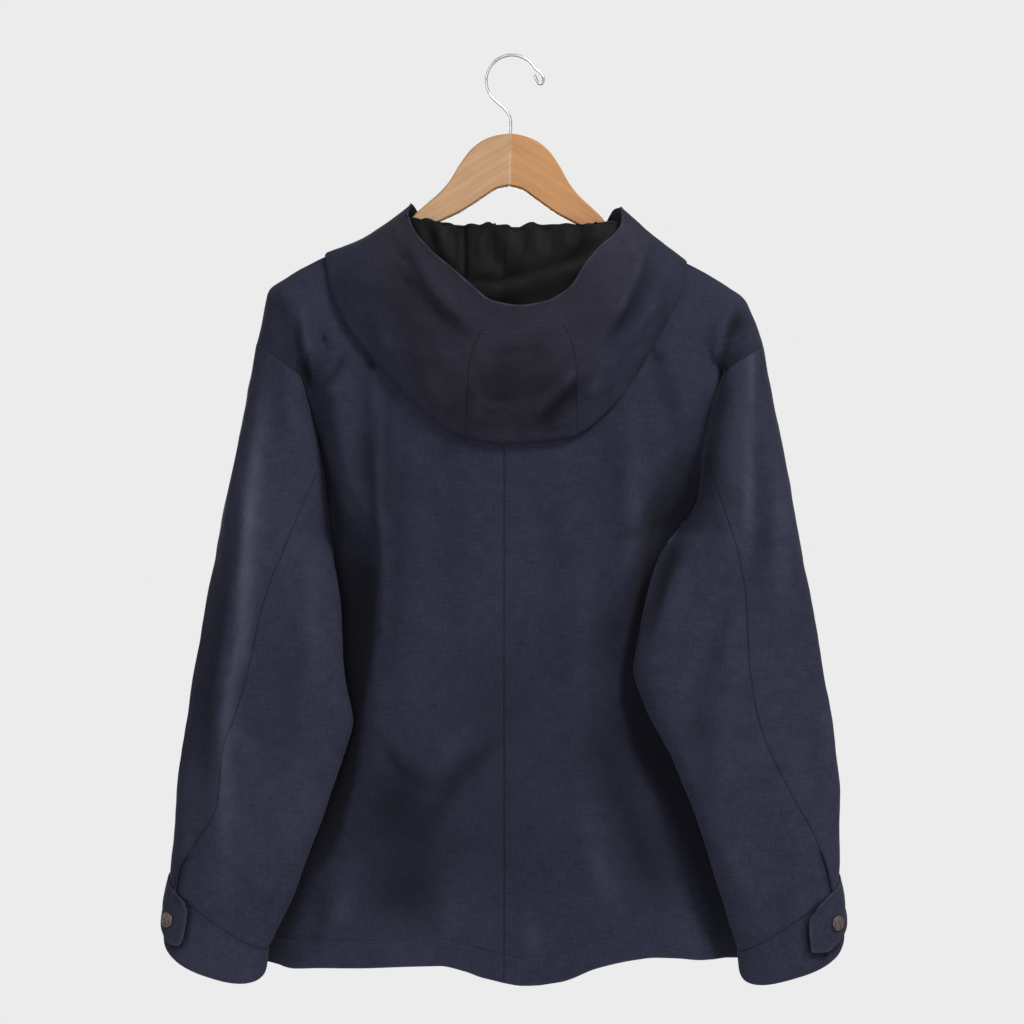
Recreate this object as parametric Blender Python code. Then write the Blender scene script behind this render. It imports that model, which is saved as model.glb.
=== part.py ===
"""A hooded mountain parka hanging on a wooden hanger, cut piece by cut piece.

The frame: metres, +Z up, the wearer's left at +X, the back of the garment at +Y and
its front at -Y. The origin is the inside of the hanger hook's crown, where it hangs.
Every cloth piece is a thin solid on the garment's own surface, and the tables give
that surface in millimetres.
"""
import math

import bmesh
import bpy
from mathutils import Matrix, Vector
from mathutils.bvhtree import BVHTree

MM = 0.001
CLOTH = 1.2 * MM            # the shell cloth, with its seam allowances
LINING = 1.0 * MM
SEAM_GAP = 0.3 * MM         # between two pieces sewn together
SHARPEST = 0.2              # cosine that limits how far a corner is drawn in
SLEEVE_DRAWN_IN = 0.4 * MM  # the sleeve's own share of its seams' gaps
LIE_GAP = 0.4 * MM          # between a piece and the panel it lies on
HOOD_GAP = 0.8 * MM         # between the hood's far wall and the body
CENTRE_X = 8 * MM           # the centre back and centre front lines
HANG_TILT = math.radians(1.2)

BODY_COLUMNS = 11
NECK_TURNS = {True: (0, 0.25, 0.46, 0.55), False: (1, 0.8, 0.62, 0.55)}  # back and front
NECK_COLUMNS = 3            # of them, along the neckline, at these turns
SIDE_CROWDING = 1.35        # body columns lie closer near the side
SLEEVE_HALF = 8             # columns across the sleeve's back, and as many in front
SLEEVE_ROWS = 16
UNDERARM_ROW = 6            # the sleeve row where the armhole closes
UNDERARM = 0.3              # and how far down the sleeve that is
TOP_CROWDING = 1.5          # body rows lie closer near the shoulder
LOWER_ROWS = 8              # body rows from the underarm to the hem
LOWER_CROWDING = 1.4        # and these lie closer near the underarm
SLEEVE_CROWDING = 1.15      # as do the sleeve's
SEAM_COLUMN = 4             # the sleeve's back seam
FRONT_SEAM_COLUMN = 3       # the sleeve's front seam, counted from the inner edge
SEAM_ROW = 4                # where the back seam leaves the armhole


def monotone(keys, values, key):
    """A smooth curve through the values that never swings past them."""
    key = min(max(key, keys[0]), keys[-1])
    spans = [b - a for a, b in zip(keys, keys[1:])]
    slopes = [(b - a) / h for a, b, h in zip(values, values[1:], spans)]

    def tangent(i):
        if i == 0:
            return slopes[0]
        if i == len(slopes):
            return slopes[-1]
        before, after = slopes[i - 1], slopes[i]
        if before * after <= 0:
            return 0.0
        return 2 * before * after / (before + after)

    i = 0
    while i < len(spans) - 1 and key > keys[i + 1]:
        i += 1
    h = spans[i]
    t = (key - keys[i]) / h
    return ((2 * t ** 3 - 3 * t ** 2 + 1) * values[i] + (t ** 3 - 2 * t ** 2 + t) * h * tangent(i)
            + (3 * t ** 2 - 2 * t ** 3) * values[i + 1] + (t ** 3 - t ** 2) * h * tangent(i + 1))


class Table:
    """Rows of named columns, read smoothly by the first column."""

    def __init__(self, names, rows, unit=MM):
        self.keys = [row[0] for row in rows]
        self.columns = {name: [row[i] for row in rows] for i, name in enumerate(names)}
        self.unit = unit

    def at(self, key, name):
        return monotone(self.keys, self.columns[name], key) * self.unit


def smooth(value):
    value = min(max(value, 0.0), 1.0)
    return value * value * (3 - 2 * value)


def mix(a, b, t):
    return a + (b - a) * t


# ---------------------------------------------------------------- the garment's sizes

# The sleeve, row by row from the armhole (0) to the cuff seam (1). Its outer edge is
# the garment's outline, its inner edge lies over the body, and x runs outwards.
# Where in_square is small, the inner edge is rounded away from the back.
SLEEVE_NAMES = ("along", "out_x", "out_z", "in_x", "in_z", "seam_x", "in_square")
SLEEVES = {
    "left": Table(SLEEVE_NAMES, (
        (0.00, 255, -287, 210, -319, 214, 26),
        (0.10, 265, -346, 201, -352, 206, 26),
        (0.20, 279, -413, 187, -414, 194, 26),
        (0.25, 287, -450, 184, -446, 207, 24),
        (0.30, 293, -483, 181, -480, 221, 22),
        (0.40, 304, -545, 171, -545, 246, 24),
        (0.50, 316, -616, 166, -620, 263, 26),
        (0.55, 322, -652, 159, -664, 275, 26),
        (0.60, 327, -685, 165, -690, 286, 26),
        (0.70, 334, -740, 185, -750, 293, 26),
        (0.80, 335, -770, 203, -800, 313, 26),
        (0.90, 338, -797, 222, -845, 329, 26),
        (1.00, 341, -818, 242, -886, 334, 26))),
    "right": Table(SLEEVE_NAMES, (
        (0.00, 251, -289, 210, -316, 214, 26),
        (0.10, 262, -346, 200, -345, 205, 26),
        (0.20, 275, -413, 189, -405, 197, 24),
        (0.25, 281, -450, 186, -437, 207, 19),
        (0.30, 287, -483, 170, -470, 218, 16),
        (0.35, 292, -513, 151, -493, 225, 14),
        (0.40, 299, -548, 138, -525, 231, 14),
        (0.50, 309, -606, 125, -588, 234, 19),
        (0.55, 314, -637, 121, -613, 238, 25),
        (0.60, 319, -668, 136, -641, 244, 26),
        (0.70, 326, -726, 162, -706, 271, 26),
        (0.80, 325, -765, 187, -772, 298, 26),
        (0.90, 326, -795, 206, -834, 312, 26),
        (1.00, 326, -818, 223, -886, 318, 26))),
}
# Depths along both sleeves: the flat of the back and of the front, the outer edge,
# and the inner edge, which above the underarm is the armhole seam, back and front.
# Sag is how far the row's back hangs below its front.
SLEEVE_DEPTH = Table(("along", "back", "front", "out_y", "in_back", "in_front", "sag"), (
    (0.00, 33, -33, 0, 24, -28, 0),
    (0.10, 41, -38, 3, 15, -34, 0),
    (0.20, 46, -35, 8, 5, -32, 0),
    (0.30, 48, -3.1, 12, -14, -14, 0),
    (0.34, 49, -4, 14, 3, 3, 0),
    (0.40, 49, -8, 17, 14, 14, 1),
    (0.50, 50, -8, 20, 20, 20, 3),
    (0.80, 49, -8, 20, 20, 20, 8),
    (1.00, 46, -8, 19, 19, 19, 13)))
SLEEVE_SQUARENESS = 2.6     # of the outer edge; the inner edge's is in tenths
FRONT_SEAM_SHARE = 0.30     # of the sleeve's width, from the inner edge

# The cuff band, from its seam (0) to its edge (1), added to the sleeve's last row.
CUFF = Table(("along", "drop_out", "drop_in", "move_out", "move_in", "sag"), (
    (0.0, 0, 0, 0, 0, 13),
    (0.5, -27, -10, 5, 1, 20),
    (1.0, -57, -20, 5, 2, 27)))
CUFF_ROWS = 2

# The side seams, from the underarm (0) to the hem (1).
SIDE_NAMES = ("along", "x", "z")
SIDES = {
    "left": Table(SIDE_NAMES, (
        (0.00, 181, -480),
        (0.08, 197, -512),
        (0.17, 218, -552),
        (0.25, 227, -585),
        (0.50, 238, -695),
        (0.75, 249, -803),
        (1.00, 262, -908))),
    "right": Table(SIDE_NAMES, (
        (0.00, 170, -470),
        (0.08, 186, -506),
        (0.17, 206, -548),
        (0.30, 219, -605),
        (0.50, 229, -695),
        (0.75, 241, -803),
        (1.00, 254, -906))),
}
# The ridge where the back rolls away towards the armhole or under the sleeve.
RIDGES = {
    "left": Table(("z", "x"), (
        (-908, 215),
        (-803, 172),
        (-695, 150),
        (-585, 136),
        (-510, 137),
        (-480, 141),
        (-440, 152),
        (-400, 163),
        (-320, 184),
        (-290, 205))),
    "right": Table(("z", "x"), (
        (-906, 208),
        (-803, 163),
        (-695, 126),
        (-605, 103),
        (-548, 109),
        (-500, 119),
        (-470, 130),
        (-440, 148),
        (-405, 168),
        (-370, 180),
        (-320, 190),
        (-290, 205))),
}
SIDE_DEPTH = Table(("along", "side_y", "low_y", "front"), (
    (0.00, -14, -14, -57),
    (0.04, -28, -26, -58),
    (0.08, -31, -28, -59),
    (0.17, -35, -25, -60),
    (0.30, -35, -18, -61),
    (1.00, -35, -16, -61)))
ROLL_CLEAR = 7 * MM         # how far under the sleeve's edge the roll has ended
UNDERARM_SHELF = 14 * MM    # the low width of the back beside the underarm

FRONT_FALL = 60 * MM        # how far from the armhole the front starts to fall into it
SHOULDER_RISE = 120 * MM    # the drop over which the cloth spreads to its full depth

# The depth of the back at its centre, from the neck to the hem.
BACK_DEPTH = Table(("z", "y"), (
    (-930, 48),
    (-780, 41),
    (-600, 40),
    (-380, 41),
    (-250, 38),
    (-160, 30)), 1)

HEM = Table(("x", "z"), (
    (-254, -906),
    (-190, -900),
    (-142, -898),
    (-123, -900),
    (-85, -908),
    (-48, -921),
    (-15, -925),
    (29, -917),
    (47, -911),
    (72, -906),
    (154, -908),
    (262, -908)), 1)
FRONT_HEM_Z = -908 * MM

# The shoulder, along the hanger, from the neck point to the hanger's end.
SHOULDER = Table(("along", "x", "z"), (
    (0.00, 107, -164),
    (0.20, 126, -176),
    (0.42, 162, -195),
    (0.62, 199, -212),
    (0.76, 223, -226),
    (0.86, 239, -239),
    (0.92, 245, -258),
    (1.00, 253, -288)))

# The hood's rails round the neck, from the right throat (-1) over the shoulder,
# the nape (0) and the other shoulder to the left throat (1).
NECK = Table(("round", "x", "y", "z"), (
    (-1.00, -12, -56, -252),
    (-0.85, -55, -49, -228),
    (-0.68, -97, -30, -190),
    (-0.55, -108, 0, -166),
    (-0.45, -99, 9.5, -166),
    (-0.36, -82, 12, -168),
    (-0.18, -40, 14, -171),
    (0.00, 4, 14, -172),
    (0.18, 40, 14, -171),
    (0.36, 82, 12, -166),
    (0.45, 99, 9.5, -162),
    (0.55, 108, 0, -161),
    (0.68, 97, -30, -186),
    (0.85, 55, -49, -228),
    (1.00, 12, -56, -252)))
FOLD = Table(("round", "x", "y", "z", "lift"), (
    (-1.00, -36, -70, -294, 7),
    (-0.85, -97, -66, -284, 7),
    (-0.68, -150, -44, -246, 6),
    (-0.55, -174, 0, -208, 4.4),
    (-0.45, -171, 22, -232, 6),
    (-0.36, -155, 34, -264, 8),
    (-0.27, -130, 42, -309, 9),
    (-0.18, -98, 44, -353, 10),
    (-0.09, -54, 46, -383, 10),
    (0.00, 6, 48, -388, 10),
    (0.09, 54, 46, -380, 10),
    (0.18, 98, 44, -346, 10),
    (0.27, 131, 42, -311, 9),
    (0.36, 160, 34, -276, 8),
    (0.45, 181, 22, -231, 6),
    (0.55, 186, 0, -200, 4.4),
    (0.68, 158, -44, -240, 6),
    (0.85, 100, -66, -283, 7),
    (1.00, 40, -70, -294, 7)))
MIDDLE = Table(("round", "x", "y", "z"), (
    (-1.00, -26, -72, -277),
    (-0.85, -78, -72, -252),
    (-0.68, -124, -52, -211),
    (-0.55, -141, 2, -178),
    (-0.45, -140, 36, -202),
    (-0.36, -124, 56, -232),
    (-0.27, -108, 68, -264),
    (-0.18, -86, 75, -296),
    (-0.09, -54, 80, -311),
    (0.00, -3, 83, -318),
    (0.09, 50, 80, -311),
    (0.18, 82, 75, -290),
    (0.27, 108, 68, -260),
    (0.36, 128, 56, -232),
    (0.45, 146, 36, -202),
    (0.55, 144, 2, -178),
    (0.68, 126, -52, -206),
    (0.85, 80, -72, -250),
    (1.00, 28, -72, -277)))
RIM = Table(("round", "x", "y", "z"), (
    (-1.00, -16, -72, -262),
    (-0.85, -58, -66, -221),
    (-0.68, -94, -42, -178),
    (-0.55, -107, 3, -151),
    (-0.45, -104, 34, -174),
    (-0.36, -86, 60, -194),
    (-0.27, -71, 76, -213),
    (-0.18, -57, 84, -235),
    (-0.09, -33, 88, -249),
    (0.00, -7, 89, -253),
    (0.09, 20, 88, -248),
    (0.18, 38, 84, -234),
    (0.27, 61, 76, -214),
    (0.36, 81, 60, -196),
    (0.45, 104, 34, -172),
    (0.55, 103, 3, -148),
    (0.68, 92, -42, -175),
    (0.85, 56, -66, -220),
    (1.00, 14, -72, -262)))
SETTLE_PASSES = 40
SETTLE_SHARES = (0, 0.25, 0.5, 0.75, 1)
HOOD_ROUND = (-1, -0.92, -0.84, -0.76, -0.68, -0.62, -0.58, -0.55, -0.50, -0.45, -0.36, -0.27,
              -0.19, -0.11, -0.02, 0.075, 0.17, 0.27, 0.36, 0.45, 0.50, 0.55, 0.58, 0.62, 0.68,
              0.76, 0.84, 0.92, 1)
FAR_COLUMNS = 5             # of the hood, from the neck seam down to its fold
NEAR_COLUMNS = 5            # and from the fold up to the rim
INSERT_EDGES = (-0.11, 0.075)  # the insert's two long seams
INSERT_TOP = 4              # the near column where it ends
LINING_ROUND = 0.47         # the lining is built where it shows

NAVY = (0.024, 0.027, 0.045, 1)
SLEEVE_NAVY = (0.035, 0.036, 0.060, 1)
HOOD_NAVY = (0.030, 0.027, 0.042, 1)
BLACK = (0.012, 0.012, 0.013, 1)
MAPLE = (0.60, 0.36, 0.18, 1)
STEEL = (0.30, 0.29, 0.28, 1)
BRONZE = (0.17, 0.13, 0.11, 1)


# ---------------------------------------------------------------- surfaces


def signed(side):
    return 1 if side == "left" else -1


def squareness(side, along, rounded):
    return SLEEVES[side].at(along, "in_square") / MM / 10 if rounded else SLEEVE_SQUARENESS


def squarish(side, along, angle):
    """Across and deep of a squarish loop: 1, 0 at angle 0 and 0, 1 at a quarter turn."""
    power = 2 / squareness(side, along, math.pi / 2 < angle <= math.pi)
    across = math.copysign(abs(math.cos(angle)) ** power, math.cos(angle))
    return across, abs(math.sin(angle)) ** power


def squarish_angle(side, along, across, behind):
    power = squareness(side, along, behind and across < 0) / 2
    return math.acos(math.copysign(abs(across) ** power, across))


def sleeve_point(side, along, angle, cuff=0.0):
    """A point of the sleeve: angle 0 is the outer edge, pi the inner edge."""
    table = SLEEVES[side]
    across, deep = squarish(side, along, angle)
    share = (1 - across) / 2
    out_x = table.at(along, "out_x") + CUFF.at(cuff, "move_out")
    out_z = table.at(along, "out_z") + CUFF.at(cuff, "drop_out")
    in_x = table.at(along, "in_x") + CUFF.at(cuff, "move_in")
    in_z = table.at(along, "in_z") + CUFF.at(cuff, "drop_in")
    sag = CUFF.at(cuff, "sag") if cuff else SLEEVE_DEPTH.at(along, "sag")
    behind = angle <= math.pi
    inner = SLEEVE_DEPTH.at(along, "in_back" if behind else "in_front")
    flat = SLEEVE_DEPTH.at(along, "back" if behind else "front")
    outer = SLEEVE_DEPTH.at(along, "out_y")
    y = mix(outer, inner, share) + (flat - mix(outer, inner, 0.5)) * deep
    z = mix(out_z, in_z, share) - sag * deep * (1 if behind else -1)
    return Vector((signed(side) * mix(out_x, in_x, share), y, z))


def sleeve_angles(side, along):
    """The angles of the sleeve's columns, with one column on each seam."""
    table = SLEEVES[side]
    width = table.at(along, "out_x") - table.at(along, "in_x")
    share = (table.at(along, "out_x") - table.at(along, "seam_x")) / width
    back_seam = squarish_angle(side, along, 1 - 2 * share, True)
    opening = smooth((along - UNDERARM) / 0.15)
    front_share = 1 - FRONT_SEAM_SHARE * max(opening, 0.12)
    front_seam = 2 * math.pi - squarish_angle(side, along, 1 - 2 * front_share, False)
    stops = ((0, 0.0), (SEAM_COLUMN, back_seam), (SLEEVE_HALF, math.pi),
             (SLEEVE_HALF + FRONT_SEAM_COLUMN, front_seam), (2 * SLEEVE_HALF, 2 * math.pi))
    angles = []
    for (first, start), (last, end) in zip(stops, stops[1:]):
        angles += [mix(start, end, i / (last - first)) for i in range(last - first)]
    return angles


def sleeve_along(row):
    if row <= UNDERARM_ROW:
        return UNDERARM * row / UNDERARM_ROW
    share = (row - UNDERARM_ROW) / (SLEEVE_ROWS - UNDERARM_ROW)
    return mix(UNDERARM, 1.0, share ** SLEEVE_CROWDING)


def sleeve_rows(side):
    """The sleeve's points; above the underarm the last entry closes the armhole's front."""
    rows = []
    for row in range(SLEEVE_ROWS + 1):
        along = sleeve_along(row)
        angles = sleeve_angles(side, along)
        points = [sleeve_point(side, along, angle) for angle in angles]
        front_inner = points[SLEEVE_HALF]
        if row < UNDERARM_ROW:
            front_inner = sleeve_point(side, along, math.pi + 1e-9)
        rows.append((points, front_inner))
    return rows


def sleeve_back(rows):
    return [points[:SLEEVE_HALF + 1] for points, _ in rows]


def sleeve_front(rows):
    return [[front_inner] + points[SLEEVE_HALF + 1:] + [points[0]] for points, front_inner in rows]


def armhole(sheet, inner, outer_to_inner):
    """The armhole's points from the shoulder tip down to the underarm."""
    top = sheet[0] if outer_to_inner else sheet[0][::-1]
    down = [row[inner] for row in sheet[1:UNDERARM_ROW + 1]]
    return list(top) + down


def tilted(x, z):
    """A point of the hanger, which hangs a little low on the wearer's right."""
    return (x * math.cos(HANG_TILT) - z * math.sin(HANG_TILT),
            z * math.cos(HANG_TILT) + x * math.sin(HANG_TILT))


def top_edge(side, column, back):
    """The neckline and then the shoulder, from the centre line to the armhole."""
    sign = signed(side)
    if column <= NECK_COLUMNS:
        turn = sign * NECK_TURNS[back][column]
        x, y, z = (NECK.at(turn, name) for name in "xyz")
        if column == 0:
            x = CENTRE_X
        return Vector((x, y, z))
    t = (column - NECK_COLUMNS) / (BODY_COLUMNS - NECK_COLUMNS)
    x, z = tilted(sign * SHOULDER.at(t, "x"), SHOULDER.at(t, "z"))
    neck_x, neck_z = tilted(sign * SHOULDER.at(0, "x"), SHOULDER.at(0, "z"))
    neck = Vector((NECK.at(sign * 0.55, "x"), 0, NECK.at(sign * 0.55, "z")))
    end_x, end_z = tilted(sign * SHOULDER.at(1, "x"), SHOULDER.at(1, "z"))
    tip = sleeve_point(side, 0, 0)
    start_move = neck - Vector((neck_x, 0, neck_z))
    end_move = tip - Vector((end_x, 0, end_z))
    return Vector((x, 0, z)) + start_move * (1 - smooth(3 * t)) + end_move * smooth(6 * t - 5)


def crowded(column, share):
    """A body column's place across the panel, drawn towards the side as share grows."""
    even = column / BODY_COLUMNS
    return mix(even, 1 - (1 - even) ** SIDE_CROWDING, share)


def upper_body(side, edge, back):
    """The body panel from its top edge down to the underarm row, by centre line and armhole."""
    sign = signed(side)
    last = len(edge) - 1
    top = [top_edge(side, column, back) for column in range(BODY_COLUMNS + 1)]
    top[-1] = edge[0]
    centre_top, centre_low = top[0].z, -500 * MM
    rows = []
    for i in range(last + 1):
        fall = FRONT_FALL
        if back:
            fall = sign * edge[i].x - RIDGES[side].at(edge[i].z / MM, "x")
        v = (i / last) ** TOP_CROWDING
        row = []
        for j in range(BODY_COLUMNS + 1):
            u = crowded(j, v)
            centre = Vector((CENTRE_X, 0, mix(centre_top, centre_low, v)))
            low = Vector((mix(CENTRE_X, edge[-1].x, u), 0, mix(centre_low, edge[-1].z, u)))
            corners = mix(mix(top[0], top[-1], u), low, v)
            point = mix(top[j], low, v) + mix(centre, edge[i], u) - corners
            drop = max(0.0, top[j].z - point.z)
            flat = BACK_DEPTH.at(point.z / MM, "y") * MM if back else SIDE_DEPTH.at(0, "front")
            share = min(1.0, drop / SHOULDER_RISE)
            on_neck = smooth(1.4 - j / NECK_COLUMNS)
            spread = mix(math.sqrt(share), math.sin(share * math.pi / 2), on_neck)
            inner_y = mix(top[j].y, flat, spread)
            shelf = UNDERARM_SHELF * (i / last) ** 4
            reach = smooth((sign * (edge[i].x - point.x) - shelf) / (fall - shelf))
            point.y = mix(edge[i].y, inner_y, reach)
            row.append(point)
        row[-1] = edge[i]
        rows.append(row)
    rows[0] = top
    return rows


def sleeve_inner_x(side, z):
    """Where the sleeve's inner edge is at a height."""
    table = SLEEVES[side]
    along = 1.0
    for step in range(30, 101):
        if table.at(step / 100, "in_z") <= z:
            along = step / 100
            break
    return table.at(along, "in_x")


def lower_body(side, first_row, back):
    """The body panel from the underarm row down to the hem."""
    sign = signed(side)
    table = SIDES[side]
    rows = []
    for i in range(1, LOWER_ROWS + 1):
        t = (i / LOWER_ROWS) ** LOWER_CROWDING
        side_x = table.at(t, "x")
        side_z = table.at(t, "z")
        side_y, low_y, front = (SIDE_DEPTH.at(t, name) for name in ("side_y", "low_y", "front"))
        row = []
        for j in range(BODY_COLUMNS + 1):
            u = crowded(j, 1)
            x = mix(CENTRE_X, sign * side_x, u)
            hem_x = mix(CENTRE_X, sign * table.at(1, "x"), u)
            hem_z = HEM.at(hem_x / MM, "z") * MM if back else mix(FRONT_HEM_Z, table.at(1, "z"), u)
            z = mix(first_row[j].z, hem_z, t)
            z += (side_z - mix(first_row[-1].z, table.at(1, "z"), t)) * u * u
            out = min(1.0, abs(x) / side_x)
            if back:
                end = min(side_x - UNDERARM_SHELF, sleeve_inner_x(side, z) + ROLL_CLEAR)
                start = RIDGES[side].at(z / MM, "x")
                roll = 1 - smooth((abs(x) - start) / max(end - start, MM))
                flat = BACK_DEPTH.at(z / MM, "y") * MM
                y = mix(side_y, low_y, math.sqrt(1 - out ** 6)) + (flat - low_y) * roll
            else:
                y = mix(side_y, front, math.sqrt(1 - out ** 3))
            row.append(Vector((x, y, z)))
        rows.append(row)
    return rows


# ---------------------------------------------------------------- cloth as thin solids


class Surface:
    """Faces that meet at shared points, each owned by one cut piece."""

    def __init__(self):
        self.points = []
        self.known = {}
        self.faces = []
        self.owners = []

    def point(self, place):
        key = tuple(round(value * 1e7) for value in place)
        if key not in self.known:
            self.known[key] = len(self.points)
            self.points.append(place.copy())
        return self.known[key]

    def add(self, grid, owner, flip):
        """Adds a grid's cells; owner is a name, or gives one for a row and a column."""
        for r in range(len(grid) - 1):
            for c in range(len(grid[0]) - 1):
                corners = [grid[r][c], grid[r][c + 1], grid[r + 1][c + 1], grid[r + 1][c]]
                face = [self.point(corner) for corner in corners]
                if flip:
                    face.reverse()
                for triangle in self.split(list(dict.fromkeys(face))):
                    self.faces.append(triangle)
                    self.owners.append(owner(r, c) if callable(owner) else owner)

    def split(self, face):
        """A cell as triangles, split along its shorter diagonal."""
        if len(face) < 4:
            return [face] if len(face) == 3 else []
        a, b, c, d = face
        places = [self.points[index] for index in face]
        if (places[0] - places[2]).length <= (places[1] - places[3]).length:
            return [[a, b, c], [a, c, d]]
        return [[b, c, d], [b, d, a]]

    def face_normal(self, face):
        normal = Vector((0, 0, 0))
        for a, b in zip(face, face[1:] + face[:1]):
            normal += self.points[a].cross(self.points[b])
        return normal

    def normals(self):
        totals = [Vector((0, 0, 0)) for _ in self.points]
        for face in self.faces:
            normal = self.face_normal(face).normalized()
            for index in face:
                totals[index] += normal
        return [total.normalized() for total in totals]

    def tree(self):
        return BVHTree.FromPolygons(self.points, self.faces)

    def cut(self, owner, thickness, lift=0.0, gap=SEAM_GAP / 2):
        """One piece as a closed slab: its outer side on the surface, its seams drawn in."""
        normals = self.normals()
        faces = [face for face, name in zip(self.faces, self.owners) if name == owner]
        edges = {}
        for face in faces:
            flat = self.face_normal(face).normalized()
            for a, b in zip(face, face[1:] + face[:1]):
                edges.setdefault(frozenset((a, b)), []).append((a, b, flat))
        border = [uses[0] for uses in edges.values() if len(uses) == 1]
        inward = {}
        for a, b, flat in border:
            direction = flat.cross(self.points[b] - self.points[a]).normalized()
            for index in (a, b):
                inward.setdefault(index, []).append(direction)
        outer, inner = {}, {}
        for index in sorted({index for face in faces for index in face}):
            place = self.points[index] + normals[index] * lift
            if index in inward:
                way = sum(inward[index], Vector((0, 0, 0))).normalized()
                place += way * gap / max(SHARPEST, way.dot(inward[index][0]))
            outer[index] = place
            inner[index] = place - normals[index] * thickness
        mesh = bmesh.new()
        front = {index: mesh.verts.new(place) for index, place in outer.items()}
        behind = {index: mesh.verts.new(place) for index, place in inner.items()}
        for face in faces:
            mesh.faces.new([front[index] for index in face])
            mesh.faces.new([behind[index] for index in reversed(face)])
        for a, b, _ in border:
            mesh.faces.new((front[b], front[a], behind[a], behind[b]))
        return mesh


MATERIALS = {}


def material(name, colour, roughness, metallic=0.0):
    if name not in MATERIALS:
        made = bpy.data.materials.new(name)
        made.use_nodes = True
        shader = made.node_tree.nodes["Principled BSDF"]
        shader.inputs["Base Color"].default_value = colour
        shader.inputs["Roughness"].default_value = roughness
        shader.inputs["Metallic"].default_value = metallic
        MATERIALS[name] = made
    return MATERIALS[name]


def finish(name, mesh, made_of):
    """Turns a bmesh into a named object with its material."""
    bmesh.ops.triangulate(mesh, faces=mesh.faces[:])
    data = bpy.data.meshes.new(name)
    mesh.to_mesh(data)
    mesh.free()
    data.materials.append(made_of)
    data.shade_smooth()
    data.set_sharp_from_angle(angle=math.radians(40))
    made = bpy.data.objects.new(name, data)
    bpy.context.scene.collection.objects.link(made)
    return made


# ---------------------------------------------------------------- the body and sleeves


def build_shell():
    """The body and both sleeves as one surface, so that the seams match."""
    shell = Surface()
    for side in ("left", "right"):
        left = side == "left"
        rows = sleeve_rows(side)
        behind, before = sleeve_back(rows), sleeve_front(rows)
        upper_name, under_name = f"sleeve_{side}_upper", f"sleeve_{side}_under"

        def back_owner(row, column):
            under = row >= SEAM_ROW and column >= SEAM_COLUMN
            return under_name if under else upper_name

        def front_owner(row, column):
            under = row >= UNDERARM_ROW and column < FRONT_SEAM_COLUMN
            return under_name if under else upper_name

        shell.add(behind, back_owner, left)
        shell.add(before, front_owner, left)
        cuff_angles = sleeve_angles(side, 1.0)
        cuff = [rows[-1][0] + [rows[-1][0][0]]]
        for step in range(1, CUFF_ROWS + 1):
            ring = [sleeve_point(side, 1.0, angle, step / CUFF_ROWS) for angle in cuff_angles]
            cuff.append(ring + [ring[0]])
        shell.add(cuff, f"cuff_{side}", left)
        for back, sheet, inner in ((True, behind, SLEEVE_HALF), (False, before, 0)):
            edge = armhole(sheet, inner, back)
            panel = upper_body(side, edge, back)
            panel += lower_body(side, panel[-1], back)
            name = ("back_" if back else "front_") + side
            shell.add(panel, name, left != back)
    return shell


def build_body(shell):
    navy = material("body_cloth", NAVY, 0.85)
    pale = material("sleeve_cloth", SLEEVE_NAVY, 0.85)
    for side in ("left", "right"):
        for part in ("back", "front"):
            finish(f"{part}_{side}", shell.cut(f"{part}_{side}", CLOTH), navy)
        for part in ("sleeve_{}_upper", "sleeve_{}_under", "cuff_{}"):
            name = part.format(side)
            finish(name, shell.cut(name, CLOTH, gap=SLEEVE_DRAWN_IN), pale)


# ---------------------------------------------------------------- the hood


def laid(tree, place, height):
    """A point moved to lie at a height over the garment's outer face."""
    near, normal, _, _ = tree.find_nearest(place)
    return near + normal * height


def settle_cell(tree, corners, gap):
    """Moves a cell's corners out wherever its edges or diagonals are too near the cloth."""
    for first in range(4):
        for second in range(first + 1, 4):
            for share in SETTLE_SHARES:
                sample = corners[first].lerp(corners[second], share)
                near, normal, _, _ = tree.find_nearest(sample)
                short = gap - (sample - near).dot(normal)
                if short > 0:
                    corners[first] += normal * short * (1 - share)
                    corners[second] += normal * short * share


def settled(tree, grid, gap):
    """Moves a grid's points out until its cells, not only its corners, clear the cloth."""
    for _ in range(SETTLE_PASSES):
        for r in range(len(grid) - 1):
            for c in range(len(grid[0]) - 1):
                corners = [grid[r][c], grid[r][c + 1], grid[r + 1][c + 1], grid[r + 1][c]]
                settle_cell(tree, corners, gap)
    return grid


def hood_row(tree, turn):
    """One section of the hood: down the far wall, round its fold and up to the rim."""
    neck = Vector([NECK.at(turn, name) for name in "xyz"])
    fold = Vector([FOLD.at(turn, name) for name in "xyz"])
    middle = Vector([MIDDLE.at(turn, name) for name in "xyz"])
    rim = Vector([RIM.at(turn, name) for name in "xyz"])
    lift = FOLD.at(turn, "lift")
    down = (fold - neck).normalized()
    far_end = fold - down * lift * 0.6
    far = HOOD_GAP
    row = [laid(tree, mix(neck, far_end, i / FAR_COLUMNS), far) for i in range(FAR_COLUMNS + 1)]
    row.append(laid(tree, fold, far + lift * 0.5))
    near_start = laid(tree, far_end, far + lift)
    for i in range(NEAR_COLUMNS + 1):
        share = i / NEAR_COLUMNS
        row.append(Vector([monotone((0, 0.5, 1), (near_start[k], middle[k], rim[k]), share)
                           for k in range(3)]))
    return row


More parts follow.
